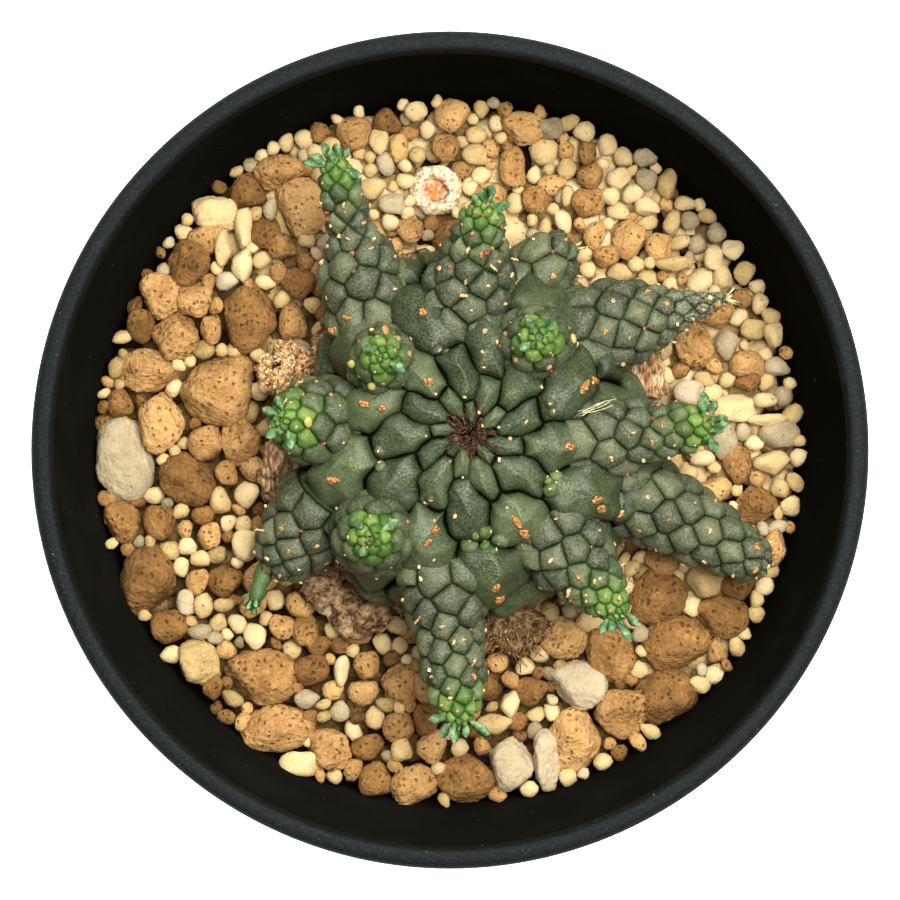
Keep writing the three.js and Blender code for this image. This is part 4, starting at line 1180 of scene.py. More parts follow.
# Where the photograph shows redder bark: middle and radius
RED_BARK = ((26.5, 10.5, 5.0), (-22.5, -2.5, 4.5), (5.0, 26.0, 5.0))


def make_caudex():
    """The CAD body, made fine by remeshing, then roughened into cork."""
    mesh = frame["nodes"]["caudex"].data.copy()
    mesh.materials.clear()
    piece = link_object("caudex_bark", mesh)
    change_mesh(piece, lambda made: bmesh.ops.remove_doubles(made, verts=made.verts, dist=1e-7))
    remesh = piece.modifiers.new("remesh", "REMESH")
    remesh.mode = "VOXEL"
    remesh.voxel_size = BARK_VOXEL * MM
    bake_modifiers(piece)
    roughen(piece, (0.8, 2.4), (0.65, 1.0), (0.35, 0.5))
    piece.data.shade_smooth()
    points = points_of(piece)
    axis = unit(STUMP_TOP - STUMP_FOOT)
    along = (points - STUMP_FOOT) @ axis
    beside = np.linalg.norm(points - STUMP_FOOT - along[:, None] * axis, axis=1)
    stump = smooth_step(along, 1.0, 3.0) * (1 - smooth_step(beside, STUMP_RADIUS + 0.8, STUMP_RADIUS + 2))
    # The hollow in the middle of the stump's top, painted near black as shade
    hollow = stump * (1 - smooth_step(beside, 0.5, 1.3)) * smooth_step(along, 4.0, 5.5)
    red = 0
    for x, y, radius in RED_BARK:
        apart = np.hypot(points[:, 0] - x, points[:, 1] - y)
        red = red + (1 - smooth_step(apart, 0.4 * radius, radius))
    for key, values in (("stump", stump), ("hollow", hollow), ("red", red)):
        set_attribute(piece, key, values)
    dress(piece, bark, "bark", "caudex")


make_caudex()

# Places in the photograph

EYE = Vector((0, 0, CAMERA_HEIGHT))
PIXELS_PER_WIDTH = CAMERA_LENS / CAMERA_SENSOR * IMAGE_SIDE


def sight_line(px, py):
    """The direction from the camera through a pixel of the photograph."""
    half = IMAGE_SIDE / 2
    return Vector(((px - half) / PIXELS_PER_WIDTH, (half - py) / PIXELS_PER_WIDTH, -1)).normalized()


def at_pixel(px, py, height):
    """The point at a height, in millimetres, that a pixel of the photograph shows."""
    aim = sight_line(px, py)
    return np.array(EYE + aim * ((height - CAMERA_HEIGHT) / aim.z))


# The gravel

MIX_TOP = 69.6
GRAVEL_RADIUS = 46.6
TRUNK_CLEARANCE = 19
# The stones that stand out in the photograph: the pixel of the middle, then half the width and height in mm
LANDMARKS = {
    "clay": [
        (452, 115, 2.3, 2.1), (387, 121, 1.8, 1.7), (522, 128, 2.7, 2.1), (353, 133, 2.2, 2.2),
        (399, 148, 1.2, 1.8), (445, 148, 1.8, 1.8), (512, 166, 1.7, 2.6), (280, 172, 3.1, 2.2),
        (590, 176, 1.7, 1.8), (552, 185, 1.8, 1.4), (248, 190, 2.2, 2.2), (537, 200, 2.0, 1.7),
        (588, 202, 2.1, 1.8), (300, 207, 3.1, 3.8), (410, 231, 1.6, 1.8), (265, 232, 2.0, 2.0),
        (595, 236, 1.4, 1.8), (205, 238, 2.3, 2.1), (630, 240, 2.1, 2.5), (282, 245, 1.8, 1.6),
        (660, 247, 1.8, 1.7), (606, 256, 1.6, 1.3), (188, 262, 2.6, 3.0), (298, 284, 2.2, 2.0),
        (159, 295, 2.5, 2.9), (190, 299, 2.6, 2.2), (717, 315, 2.0, 1.7), (249, 317, 3.3, 4.4),
        (293, 322, 1.8, 2.5), (140, 326, 1.7, 2.1), (210, 330, 1.3, 2.0), (175, 337, 2.9, 3.0),
        (695, 345, 2.5, 2.9), (747, 364, 2.3, 1.7), (147, 370, 4.0, 2.7), (748, 382, 1.6, 1.2),
        (215, 390, 4.6, 4.4), (120, 402, 1.7, 1.8), (160, 424, 2.9, 3.8), (240, 440, 2.3, 3.0),
        (205, 443, 2.2, 2.2), (738, 465, 1.8, 2.6), (226, 472, 1.4, 1.6), (187, 480, 3.5, 3.3),
        (715, 490, 2.1, 1.6), (757, 505, 2.7, 2.3), (121, 522, 2.2, 2.6), (158, 523, 2.0, 2.2),
        (209, 537, 1.4, 1.7), (775, 548, 1.3, 2.5), (663, 563, 2.2, 1.8), (147, 580, 3.4, 4.4),
        (197, 583, 1.6, 1.6), (738, 586, 2.2, 2.0), (225, 582, 2.3, 2.0), (658, 597, 3.7, 3.5),
        (301, 605, 2.0, 1.6), (722, 618, 3.5, 2.6), (168, 627, 2.3, 2.1), (282, 628, 1.6, 1.6),
        (305, 630, 1.7, 2.0), (565, 639, 2.9, 2.6), (678, 645, 4.4, 3.5), (319, 646, 1.6, 1.4),
        (718, 651, 1.3, 1.6), (612, 655, 3.1, 3.5), (366, 666, 1.6, 1.8), (311, 670, 2.3, 2.0),
        (262, 678, 4.4, 3.5), (399, 684, 2.2, 2.7), (425, 686, 1.6, 2.3), (212, 688, 1.3, 1.7),
        (531, 692, 2.2, 1.8), (667, 698, 4.0, 3.5), (623, 715, 3.4, 3.1), (425, 720, 1.6, 2.1),
        (398, 728, 2.0, 2.0), (276, 729, 4.6, 3.0), (574, 742, 3.4, 4.2), (367, 748, 2.1, 1.6),
        (431, 748, 1.8, 2.2), (330, 750, 2.6, 2.6), (376, 780, 2.2, 2.2), (467, 780, 3.7, 3.0),
        (414, 787, 2.9, 2.7),
    ],
    "pumice": [
        (416, 111, 1.4, 1.3), (379, 142, 1.2, 1.7), (474, 154, 1.6, 1.3), (619, 178, 1.6, 1.3),
        (667, 184, 1.2, 2.1), (373, 188, 1.6, 1.4), (648, 205, 1.6, 1.2), (215, 213, 3.0, 2.2),
        (243, 228, 1.2, 2.6), (222, 248, 1.0, 2.3), (733, 250, 1.4, 1.3), (714, 257, 1.2, 1.6),
        (675, 264, 2.6, 0.9), (242, 265, 1.3, 2.2), (745, 273, 1.4, 1.6), (724, 276, 1.3, 1.6),
        (754, 330, 1.7, 1.3), (774, 335, 1.2, 1.6), (665, 343, 0.9, 2.2), (765, 400, 1.7, 0.9),
        (733, 408, 2.9, 1.7), (768, 420, 2.6, 0.8), (772, 463, 2.2, 1.6), (247, 495, 1.6, 1.7),
        (220, 500, 1.3, 1.7), (245, 546, 1.7, 2.0), (706, 580, 2.3, 2.3), (203, 606, 1.2, 1.6),
        (255, 637, 1.4, 1.6), (199, 663, 2.6, 2.9), (341, 672, 1.0, 2.0), (510, 705, 1.2, 1.7),
        (495, 725, 2.3, 1.3), (402, 750, 1.4, 1.6), (302, 765, 2.9, 1.6),
    ],
    "white": [
        (550, 128, 1.6, 1.4), (645, 157, 1.6, 1.2), (647, 180, 1.3, 1.4), (392, 203, 1.7, 1.3),
        (270, 209, 0.9, 1.4), (717, 232, 1.2, 1.3), (728, 345, 1.4, 2.0), (778, 366, 1.6, 1.2),
        (690, 393, 2.0, 1.6), (780, 435, 2.6, 1.7), (725, 442, 1.6, 2.3), (124, 462, 3.5, 5.6),
        (185, 602, 1.2, 1.6), (200, 632, 1.6, 1.0), (580, 686, 3.5, 3.0), (307, 700, 1.6, 1.2),
        (547, 760, 1.6, 3.8), (512, 765, 2.7, 3.3),
    ],
}
LANDMARK_LEVEL = 70
# Landmark stones of more than this half size are large or medium, and grains of more than this are medium
LARGE_STONE = 2.3
MEDIUM_STONE = 1.3
MEDIUM_GRAIN = 1.95
# Rounds of grains, the largest first: least and greatest half size, and tries
GRAIN_ROUNDS = ((2.3, 3.4, 900), (1.6, 2.5, 5000), (1.0, 1.35, 20000), (0.7, 1.0, 42000))
# How far a grain overfills its gap, as grains that lie on each other do
CROWDING = 1.13
LOWER_GRAINS = 2600
LOWER_RADIUS = 45.5
LOWER_LEVEL = 66.2
HUSK_AT = np.array([-1.8, 34, 67.4])
HUSK_RADIUS = 2.4
HUSK_CLEARANCE = 3.2


def coarseness(x, y):
    """1 where the photograph shows large grains, on the left and at the front, and 0 where they are small."""
    return smooth_step((-0.95 * x - 0.9 * y) / 45, -0.3, 0.4)


def landmarks():
    """The landmark stones, each with its kind, its place and its half sizes in millimetres."""
    for kind, stones in LANDMARKS.items():
        for px, py, half_width, half_height in stones:
            x, y, _ = at_pixel(px, py, LANDMARK_LEVEL)
            yield kind, x, y, half_width, half_height


def scatter_grains():
    """Fills the ring round the trunk with grains, the largest first, each as large as its gap allows."""
    rng = np.random.default_rng(7)
    placed = np.zeros((6000, 3))
    count = 0
    for kind, x, y, a, b in landmarks():
        placed[count] = (x, y, math.sqrt(a * b) * 0.98)
        count += 1
    placed[count] = (HUSK_AT[0], HUSK_AT[1], HUSK_CLEARANCE)
    count += 1
    grains = []
    for low, high, tries in GRAIN_ROUNDS:
        for _ in range(tries):
            radius = GRAVEL_RADIUS * math.sqrt(rng.random())
            angle = 2 * math.pi * rng.random()
            share, pick, kind_pick = rng.random(3)
            x, y = radius * math.cos(angle), radius * math.sin(angle)
            if math.hypot(x - PLANT[0], y - PLANT[1]) < TRUNK_CLEARANCE:
                continue
            coarse = float(coarseness(x, y))
            if low > 1.5 and pick > 0.05:
                continue
            near = placed[:count]
            gap = float((np.hypot(near[:, 0] - x, near[:, 1] - y) - near[:, 2]).min()) * CROWDING
            gap = min(gap, GRAVEL_RADIUS - radius)
            if gap < low:
                continue
            size = min(gap, low + (high - low) * share)
            placed[count] = (x, y, size)
            count += 1
            clay = kind_pick < 0.12 + 0.4 * (size > 1.5) + 0.3 * coarse
            kind = "clay" if clay else ("white" if kind_pick > 0.9 else "pumice")
            grains.append((kind, x, y, size))
    return grains, placed[:count]


def lay_landmarks(rng, groups):
    for i, (kind, x, y, a, b) in enumerate(landmarks()):
        size = (a + b) / 2
        height = 0.85 * size
        level = 70.2 - height + 0.25 * size + 0.5 * (rng.random() - 0.5)
        grade = "large" if size > LARGE_STONE else ("medium" if size > MEDIUM_STONE else "fine")
        spread = (1.08 * a, 1.08 * b, height)
        tone = 0.2 + 0.8 * rng.random()
        groups[kind, grade].add((x, y, level), (0, 0, 0), spread, tone, i)


def lay_top_grains(rng, groups, grains):
    for kind, x, y, size in grains:
        stretch = 0.72 + 0.3 * rng.random()
        sizes = size * np.array([1.05 / stretch, 1.25 * stretch, 0.92])
        level = MIX_TOP - size * 0.95 + 1.3 * (rng.random() - 0.5)
        grade = "medium" if size > MEDIUM_GRAIN else "fine"
        turn = (*(0.7 * (rng.random(2) - 0.5)), FULL_TURN * rng.random())
        pale = 0.35 * (1 - float(coarseness(x, y)))
        tone = pale + (1 - pale) * rng.random()
        groups[kind, grade].add((x, y, level), turn, sizes, tone, int(rng.integers(9)))


def lay_lower_grains(rng, groups, placed):
    """The grains below those on top. None of them may show through a larger grain."""
    above = placed[placed[:, 2] > 1.4]
    for _ in range(LOWER_GRAINS):
        radius = LOWER_RADIUS * math.sqrt(rng.random())
        angle = 2 * math.pi * rng.random()
        size = 1.2 + 1.1 * rng.random()
        x, y = radius * math.cos(angle), radius * math.sin(angle)
        if math.hypot(x - PLANT[0], y - PLANT[1]) < 17 or radius + size > 46:
            continue
        if (above[:, 2] - np.hypot(above[:, 0] - x, above[:, 1] - y)).max() > 0.3 * size:
            continue
        coarse = float(coarseness(x, y))
        level = LOWER_LEVEL - 1.6 * coarse - 1.4 * rng.random()
        sizes = size * (0.8 + 0.35 * rng.random(3))
        # Where the grains are small, the photograph shows cream ones below the top ones too; the rest are
        # painted dark brown as shade
        kind = "pumice" if rng.random() < 0.65 * (1 - coarse) else "painted_shade"
        # The tone is lower where the grains are coarse: painted shade in the deeper gaps
        tone = 0.6 * rng.random() + 0.4 * (1 - coarse)
        groups[kind, "fine"].add((x, y, level), FULL_TURN * rng.random(3), sizes, tone, int(rng.integers(9)))


def make_gravel():
    rng = np.random.default_rng(19)
    templates = {
        "fine": make_templates("fine_grain", [ball(2, 8, k, 0.05) for k in range(9)]),
        "medium": make_templates("medium_grain", [ball(3, 10, 20 + k, 0.05) for k in range(9)]),
        "large": make_templates("large_grain", [ball(5, 11, 40 + k, 0.08) for k in range(11)]),
    }
    groups = defaultdict(Copies)
    lay_landmarks(rng, groups)
    grains, placed = scatter_grains()
    lay_top_grains(rng, groups, grains)
    lay_lower_grains(rng, groups, placed)
    finish = {"clay": fired_clay, "pumice": pumice, "white": white_pumice, "painted_shade": painted_shade_grain}
    relief = {
        "fine": {"lump": (0.35, 1.1)},
        "medium": {"lump": (0.7, 1.7), "crumb": (0.3, 0.7)},
        "large": {"lump": (1.0, 2.4), "crumb": (0.42, 0.6)},
    }
    for (kind, grade), copies in groups.items():
        name = f"{kind}_grains_{grade}"
        shapes = templates[grade]
        copies.make(name, shapes, finish[kind], "potting_mix", "potting_mix", seed=3.0, **relief[grade])
    for collection in templates.values():
        drop_templates(collection)


make_gravel()


BED_TOP = 64.6
BED_LEVELS = (4.4, 20, 40, 55, 63.5)


def make_bed():
    """The mix below the grains that show: a plain body that fills the pot, painted dark as shade."""
    profile = [(0, BED_LEVELS[0])] + [(pot_inner_radius(z) - 0.4, z) for z in BED_LEVELS]
    profile += [(40, 64.2), (30, BED_TOP), (20, BED_TOP), (0, BED_TOP)]
    dress(lathe("mix_bed", profile, 96), dark_mix, "potting_mix", "potting_mix")


make_bed()


def make_husk():
    """A curled ring of husk, fuzzy and pale, round an orange middle with white crumbs."""
    profile = [(0, -0.9), (HUSK_RADIUS - 1.1, -0.9)]
    profile += arc((HUSK_RADIUS, 0), 0.95, -90, 198, 13) + [(0.9, 0.0), (0, 0.1)]
    ring = lathe("husk_ring", [(r, z + HUSK_AT[2] + 1.1) for r, z in profile], 64)
    ring.data.transform(Matrix.Translation((HUSK_AT[0] * MM, HUSK_AT[1] * MM, 0)))
    roughen(ring, (0.5, 1.2), (0.25, 0.5))
    flat = np.linalg.norm(points_of(ring)[:, :2] - HUSK_AT[:2], axis=1)
    set_attribute(ring, "middle", 1 - smooth_step(flat, 1.35, 1.75))
    dress(ring, dried_husk, "potting_mix", "potting_mix")


make_husk()

# Small growths on the plant


def gather_skins():
    """One search tree over the head, the branches, the tips and the bark."""
    names = ("head_skin", "branch_", "leafy_tip_", "caudex_bark")
    points, faces = [], []
    for piece in bpy.context.scene.objects:
        if piece.name.startswith(names) and piece.name not in frame["nodes"]:
            start = len(points)
            points += [vertex.co.copy() for vertex in piece.data.vertices]
            faces += [[start + i for i in face.vertices] for face in piece.data.polygons]
    return BVHTree.FromPolygons(points, faces)


plant_skins = gather_skins()


def on_plant(px, py):
    """The point of the plant that a pixel of the photograph shows, and the way out of its skin."""
    place, normal, _, _ = plant_skins.ray_cast(EYE * MM, sight_line(px, py))
    if place is None:
        return None, None
    return np.array(place) / MM, np.array(normal)


def leaf_shape():
    """A spoon-shaped leaf that is 1 long, cupped, with a narrow stalk."""
    spans = [(0, 0.1), (0.25, 0.11), (0.45, 0.2), (0.62, 0.3), (0.78, 0.31), (0.91, 0.2), (1, 0.03)]
    points = []
    for along, half in spans:
        cup = 0.3 * half
        points += [(-half, cup, along), (0, -0.07, along), (half, cup, along), (0, 0.05, along)]
    faces = ring_faces(len(spans), 4)
    top = 4 * (len(spans) - 1)
    faces += [(3, 2, 1, 0), (top, top + 1, top + 2, top + 3)]
    return points, faces


def strand_shape():
    """A bent hair that is 1 long."""
    path = [(0, 0, 0), (0.02, 0, 0.35), (0.08, 0.02, 0.7), (0.2, 0.03, 1)]
    return tube(path, [0.07, 0.06, 0.045, 0.015], sides=4)


round_buds = make_templates("bud_shapes", [ball(2, 4, 60 + k, 0.2) for k in range(4)])
flat_marks = make_templates("mark_shapes", [ball(2, 3, 70 + k, 0.2) for k in range(5)])
stub_shapes = make_templates("stub_shapes", [tube([(0, 0, -1), (0.3, 0.1, 0), (0, 0, 1)], [1, 0.75, 0.9], 6)])
leaf_templates = make_templates("leaf_shapes", [leaf_shape()])
strand_templates = make_templates("strand_shapes", [strand_shape()])

# The leaf tips that the photograph shows round each growing tip, in pixels
LEAF_TIPS = {
    "back_left": ((323, 142), (336, 143), (349, 148), (304, 162), (312, 155), (362, 178), (330, 150)),
    "back": ((482, 190), (493, 184), (473, 194), (511, 204), (503, 211), (487, 186)),
    "right": ((703, 391), (728, 417), (724, 431), (716, 453), (728, 424), (700, 397), (716, 400)),
    "front_right_short": ((631, 642), (600, 633), (639, 626), (626, 634), (612, 632)),
    "front": ((428, 719), (454, 744), (490, 735), (466, 738), (440, 738)),
    "left": ((266, 438), (291, 449), (262, 408), (276, 396)),
    "upright_front_left": ((352, 518), (398, 520), (360, 556)),
    "upright_back_left": ((362, 345), (405, 372)),
    "upright_back_right": ((527, 318), (556, 322), (520, 350)),
}


def facing_spin(aim, out):
    """The spin about aim that turns a template's back outwards."""
    back = aim.to_track_quat("Z", "Y") @ Vector((0, 1, 0))
    return math.atan2(back.cross(out).dot(aim), back.dot(out)) + math.pi


def make_leaves():
    for name, spots in LEAF_TIPS.items():
        branch = branches[name]
        rng = seeded(400, len(name), int(branch.length * 10))
        leaves = Copies()
        axis_point, tipward, _, _ = branch.frame_at(1.2)
        for px, py in spots:
            end = at_pixel(px, py, axis_point[2] + 0.8 + 1.2 * rng.random())
            out = end - axis_point
            out = unit(out - tipward * (out @ tipward))
            foot = axis_point + out * 0.7
            aim = Vector(end - foot)
            length = aim.length
            turn = turn_to(aim, facing_spin(aim.normalized(), Vector((*(0.4 * out[:2]), -1))))
            width = min(length, 2.1) * (0.85 + 0.25 * rng.random())
            leaves.add(foot, turn, (width, width, length), rng.random())
        for n in range(5):
            angle = branch.turn - GOLDEN_ANGLE * (n + 2)
            point, tipward, across, up = branch.frame_at(0.5 + 0.18 * n)
            out = across * math.cos(angle) + up * math.sin(angle)
            lean = 0.2 + 0.09 * n
            aim = Vector(tipward * math.cos(lean) + out * math.sin(lean))
            length = 1.0 + 0.4 * rng.random()
            turn = turn_to(aim, facing_spin(aim, Vector(out)))
            leaves.add(point + out * 0.35, turn, (0.8 * length, 0.8 * length, length), rng.random())
        leaves.make(f"leaves_{name}", leaf_templates, leaf_green, "young_skin", f"leafy_tip_{name}")


make_leaves()

# Corky scars that the photograph shows on the head: pixel, length and width in millimetres, and lean
HEAD_SCARS = [
    (429, 382, 1.1, 1.1, 0), (364, 404, 1.5, 0.8, -30), (382, 409, 0.9, 0.7, 0),
    (585, 387, 1.9, 1.0, 60), (595, 380, 1.2, 0.9, 0), (570, 446, 1.2, 1.1, 0),
    (435, 530, 1.2, 0.8, 70), (428, 543, 1.0, 0.7, 70), (517, 522, 2.1, 0.75, -58),
    (524, 534, 1.9, 0.9, -58), (496, 588, 1.2, 1.5, 0), (500, 600, 1.4, 1.6, 20),
    (333, 480, 1.9, 0.9, 12), (597, 500, 1.3, 1.1, 0), (601, 509, 1.2, 1.6, 20),
    (423, 312, 0.8, 0.8, 0), (346, 318, 1.4, 0.5, 0), (332, 331, 0.7, 0.7, 0),
    (620, 515, 0.8, 0.5, 30),
]
# Dots of dried tissue, cream or brown, that lie on the head
HEAD_DOTS = [
    (541, 387), (483, 352), (485, 331), (497, 342), (526, 422), (510, 439), (434, 560), (372, 330),
    (379, 451), (507, 508), (421, 579), (419, 566), (463, 478), (500, 460), (455, 516), (622, 512),
    (556, 519),
]
# Beads of unopened leaves and flowers: pixel, half length, half width, and 0 for peach or 1 for yellow
BEADS = [
    (385, 331, 0.75, 0.5, 0), (372, 386, 0.55, 0.5, 1), (398, 339, 0.42, 0.4, 0),
    (409, 354, 0.42, 0.4, 0), (352, 364, 0.6, 0.5, 1), (573, 339, 0.65, 0.45, 1),
    (308, 422, 0.8, 0.55, 1), (303, 395, 0.3, 0.25, 0), (331, 395, 0.3, 0.28, 0),
    (516, 360, 0.35, 0.3, 0), (549, 367, 0.4, 0.4, 0), (506, 334, 0.4, 0.35, 0),
]
# Small buds between the tubercles: pixel, radius, and how young they are
BUDS = [
    (469, 545, 1.15, 0.25), (500, 541, 1.1, 0.15), (486, 532, 1.0, 0.8), (485, 545, 0.75, 1.0),
    (476, 536, 0.5, 1.0), (494, 552, 0.6, 0.7), (550, 490, 1.0, 0.45), (556, 476, 0.8, 0.6),
    (548, 480, 0.6, 0.9), (379, 452, 0.8, 0.0), (380, 466, 0.75, 0.1), (438, 350, 0.7, 0.0),
    (446, 351, 0.6, 0.0), (550, 404, 0.8, 0.1), (553, 412, 0.6, 0.1), (431, 500, 0.7, 0.0),
    (425, 503, 0.5, 0.0),
]
# Dried flower stalks that lie on the branches: pixel, half length in millimetres, and lean
STALKS = [
    (467, 250, 0.85, 72), (493, 267, 0.85, -50), (514, 259, 0.75, -15), (466, 282, 0.5, 70),
    (463, 295, 0.8, -20), (344, 206, 0.5, 80), (340, 236, 0.4, -60), (569, 594, 0.8, 60),
    (637, 578, 0.85, 40), (624, 562, 0.8, 15), (632, 569, 0.6, -70), (595, 582, 0.4, 80),
    (473, 663, 1.0, 76), (454, 643, 0.55, 60), (430, 669, 0.6, -15), (426, 697, 0.7, -70),
    (494, 694, 0.9, 10), (450, 697, 0.4, 30), (619, 599, 0.5, 80), (586, 596, 0.4, 20),
    (373, 239, 0.4, 40), (322, 263, 0.5, 80), (505, 228, 0.4, 0),
]
# Red buds on the branches, in pixels
RED_DOTS = [(473, 234), (486, 252), (501, 226), (327, 212), (328, 219), (450, 267), (352, 253), (354, 271)]
# The last of the head's pads, counted from the growing point, whose tips have dried
INNER_PADS = 24
# Shares of the branches' pads, added up: those with a scar, then a chip, then a dried stalk
SCARRED = 0.34
CHIPPED = 0.74
STALKED = 0.8
# The share of the pads with a red bud beside them, and how far from the tip they go
REDDENED = 0.09
RED_REACH = 12


def lay(copies, px, py, size, lean, sink=0.0, **values):
    """Adds a copy that lies on the plant where a pixel shows it, with its length along the lean."""
    place, normal = on_plant(px, py)
    if place is None:
        return
    way = np.array([math.cos(math.radians(lean)), math.sin(math.radians(lean)), 0.0])
    way = unit(way - normal * (way @ normal))
    copies.add(place - normal * sink, turn_of(way, normal), size, **values)


def make_head_marks():
    rng = seeded(91)
    scars, dots, beads, buds = Copies(), Copies(), Copies(), Copies()
    for px, py, length, width, lean in HEAD_SCARS:
        size = (length * 0.55, width * 0.55, 0.3)
        lay(scars, px, py, size, lean, tone=rng.random(), variant=int(rng.integers(5)))
        for _ in range(3):
            shift = 5 * (rng.random(2) - 0.5)
            lay(scars, px + shift[0], py + shift[1], 0.2 + 0.2 * rng.random(3), 180 * rng.random(),
                tone=rng.random(), variant=int(rng.integers(5)))
    for px, py in HEAD_DOTS:
        lay(dots, px, py, 0.15 + 0.22 * rng.random(3), 180 * rng.random(), tone=rng.random())
    # The tip of each inner tubercle ends in a dried point
    for pad in head_pads:
        number, angle, climb, outline = pad
        if number > INNER_PADS or rng.random() < 0.5:
            continue
        tip = climb - 0.78 * np.abs(outline[:, 1]).max()
        place = one_point(head_surface, angle, tip, 1.5)
        dots.add(place, FULL_TURN * rng.random(3), 0.12 + 0.18 * rng.random(3), rng.random())
    for px, py, length, width, yellow in BEADS:
        lay(beads, px, py, (width, length, width * 0.9), 20, tone=0.8 * yellow + 0.2 * rng.random())
    for px, py, radius, young in BUDS:
        size = (radius, radius, radius * 0.8)
        lay(buds, px, py, size, 360 * rng.random(), 0.15 * radius, tone=rng.random(), young=young,
            variant=int(rng.integers(4)))
        lay(dots, px + 1, py - 1.5, (0.24, 0.14, 0.1), 180 * rng.random(), -0.62 * radius, tone=rng.random())
    scars.make("head_scars", flat_marks, healed_cork, "bark", lump=(0.25, 0.4))
    dots.make("head_dots", round_buds, dried_stalk, "bark", lump=(0.08, 0.3))
    beads.make("unopened_buds", round_buds, peach_bud, "young_skin")
    buds.make("buds_between_tubercles", round_buds, grey_skin, "branch_skin", lump=(0.15, 0.8))


def make_branch_marks():
    """What leaves and flowers have left on the branches: a scar or a chip on most pads."""
    scars, chips, stalks, reds, peaches = Copies(), Copies(), Copies(), Copies(), Copies()
    for number, branch in enumerate(branches.values()):
        for pad in branch.pads:
            rng = seeded(300 + number, pad[0])
            pick = rng.random()
            distance = float(branch.distance_at(pad[2]))
            if distance > branch.length - 1.5:
                continue
            relief = pad_relief(branch, pad)
            top, out, tipward = branch.spot_on(pad, 1.15 * relief - GROOVE_LEVEL)
            side = np.cross(out, tipward)
            turn = turn_of(side, out)
            size = 0.16 + 0.22 * rng.random(3)
            if branch.leafy and distance < LEAFY_LENGTH + 2 + 2 * branch.upright:
                if distance > 0.8 and pick < 0.75:
                    peaches.add(top, turn, size * (0.7, 0.7, 0.5), 0.7 * rng.random())
            elif pick < SCARRED:
                scars.add(top, turn, size * (1.5, 1.3, 0.6), rng.random(), int(rng.integers(5)))
                chips.add(top + out * 0.06, FULL_TURN * rng.random(3), size * 0.5, rng.random())
            elif pick < CHIPPED:
                chips.add(top, turn, size * (1.2, 0.9, 0.8), rng.random())
            elif pick < STALKED:
                lean = unit(out + tipward * (rng.random() - 0.3) + side * (rng.random() - 0.5))
                half = 0.6 + 0.3 * rng.random()
                stalks.add(top + out * 0.3, turn_to(lean), (0.17, 0.17, half), rng.random())
            # Red points in the grooves, where new buds sit
            if rng.random() < REDDENED and distance < RED_REACH:
                corner = pad[3][int(rng.integers(len(pad[3])))]
                angle, climb = pad[1] + corner[0], pad[2] + corner[1]
                place = one_point(branch.surface, angle, climb, -GROOVE_LEVEL)
                reds.add(place, FULL_TURN * rng.random(3), 0.2 + 0.12 * rng.random(3), rng.random())
    rng = seeded(92)
    for px, py, half, lean in STALKS:
        lay(stalks, px, py, (half, 0.2, 0.2), lean, -0.15, tone=rng.random())
    for px, py in RED_DOTS:
        lay(reds, px, py, 0.3 + 0.1 * rng.random(3), 180 * rng.random(), tone=rng.random())
    scars.make("branch_scars", flat_marks, healed_cork, "bark", lump=(0.1, 0.4))
    chips.make("branch_chips", round_buds, dried_stalk, "bark", lump=(0.25, 0.3))
    stalks.make("dried_stalks", stub_shapes, dried_stalk, "bark", lump=(0.08, 0.4))
    reds.make("red_buds", round_buds, red_bud, "young_skin", lump=(0.1, 0.3))
    peaches.make("leaf_points", round_buds, peach_bud, "young_skin")


HAIRS = 620
HAIR_LEVEL = 88.6
SPIKES = 17
SPIKE_LEVEL = 88.9


def make_apex_hair():
    """The dried remains of leaves: a loose tuft at the growing point, with spikes along the grooves."""
    rng = seeded(64)
    hairs = Copies()
    for _ in range(HAIRS):
        angle = 2 * math.pi * rng.random()
        reach = 2.5 * math.sqrt(rng.random())
        foot = np.array([*PLANT, HAIR_LEVEL]) + reach * np.array([math.cos(angle), math.sin(angle), 0.1])
        spread = 0.3 + reach
        aim = Vector((math.cos(angle) * spread, math.sin(angle) * spread, 0.5 + 0.9 * rng.random()))
        size = 0.9 + 0.9 * rng.random()
        hairs.add(foot, turn_to(aim, FULL_TURN * rng.random()), (2, 2, size), rng.random())
    for k in range(SPIKES):
        angle = 2 * math.pi * (k + 0.5 * rng.random()) / SPIKES
        reach = 3.4 + 1.6 * rng.random()
        for _ in range(8):
            turn = angle + 0.14 * (rng.random() - 0.5)
            start = 1.0 + 1.2 * rng.random()
            foot = np.array([*PLANT, SPIKE_LEVEL]) + start * np.array([math.cos(turn), math.sin(turn), 0.15])
            aim = Vector((math.cos(turn), math.sin(turn), 0.25 + 0.2 * rng.random()))
            length = max(0.8, (reach - start) * (0.6 + 0.5 * rng.random()))
            hairs.add(foot, turn_to(aim, FULL_TURN * rng.random()), (1.6, 1.6, length), rng.random())
    hairs.make("apex_dried_hair", strand_templates, dried_hair, "bark")


# The most that a thread climbs or drops from one of its points to the next
THREAD_DROP = 0.9


def lay_thread(parts, pixels, radius, lift, rng):
    """A thread that lies on the plant along a few pixels, and ends where the plant falls away."""
    path = []
    for px, py in pixels:
        place, _ = on_plant(px, py)
        if place is None or (path and abs(place[2] - path[-1][2]) > THREAD_DROP):
            break
        path.append(place + [0, 0, lift + 0.25 * rng.random()])
    if len(path) > 2:
        points, faces = tube(path, [radius] * len(path), sides=5)
        parts.add(points, faces)


# The straw by the right branch runs between these pixels
STRAW_START = np.array([582, 414])
STRAW_END = np.array([620, 392])


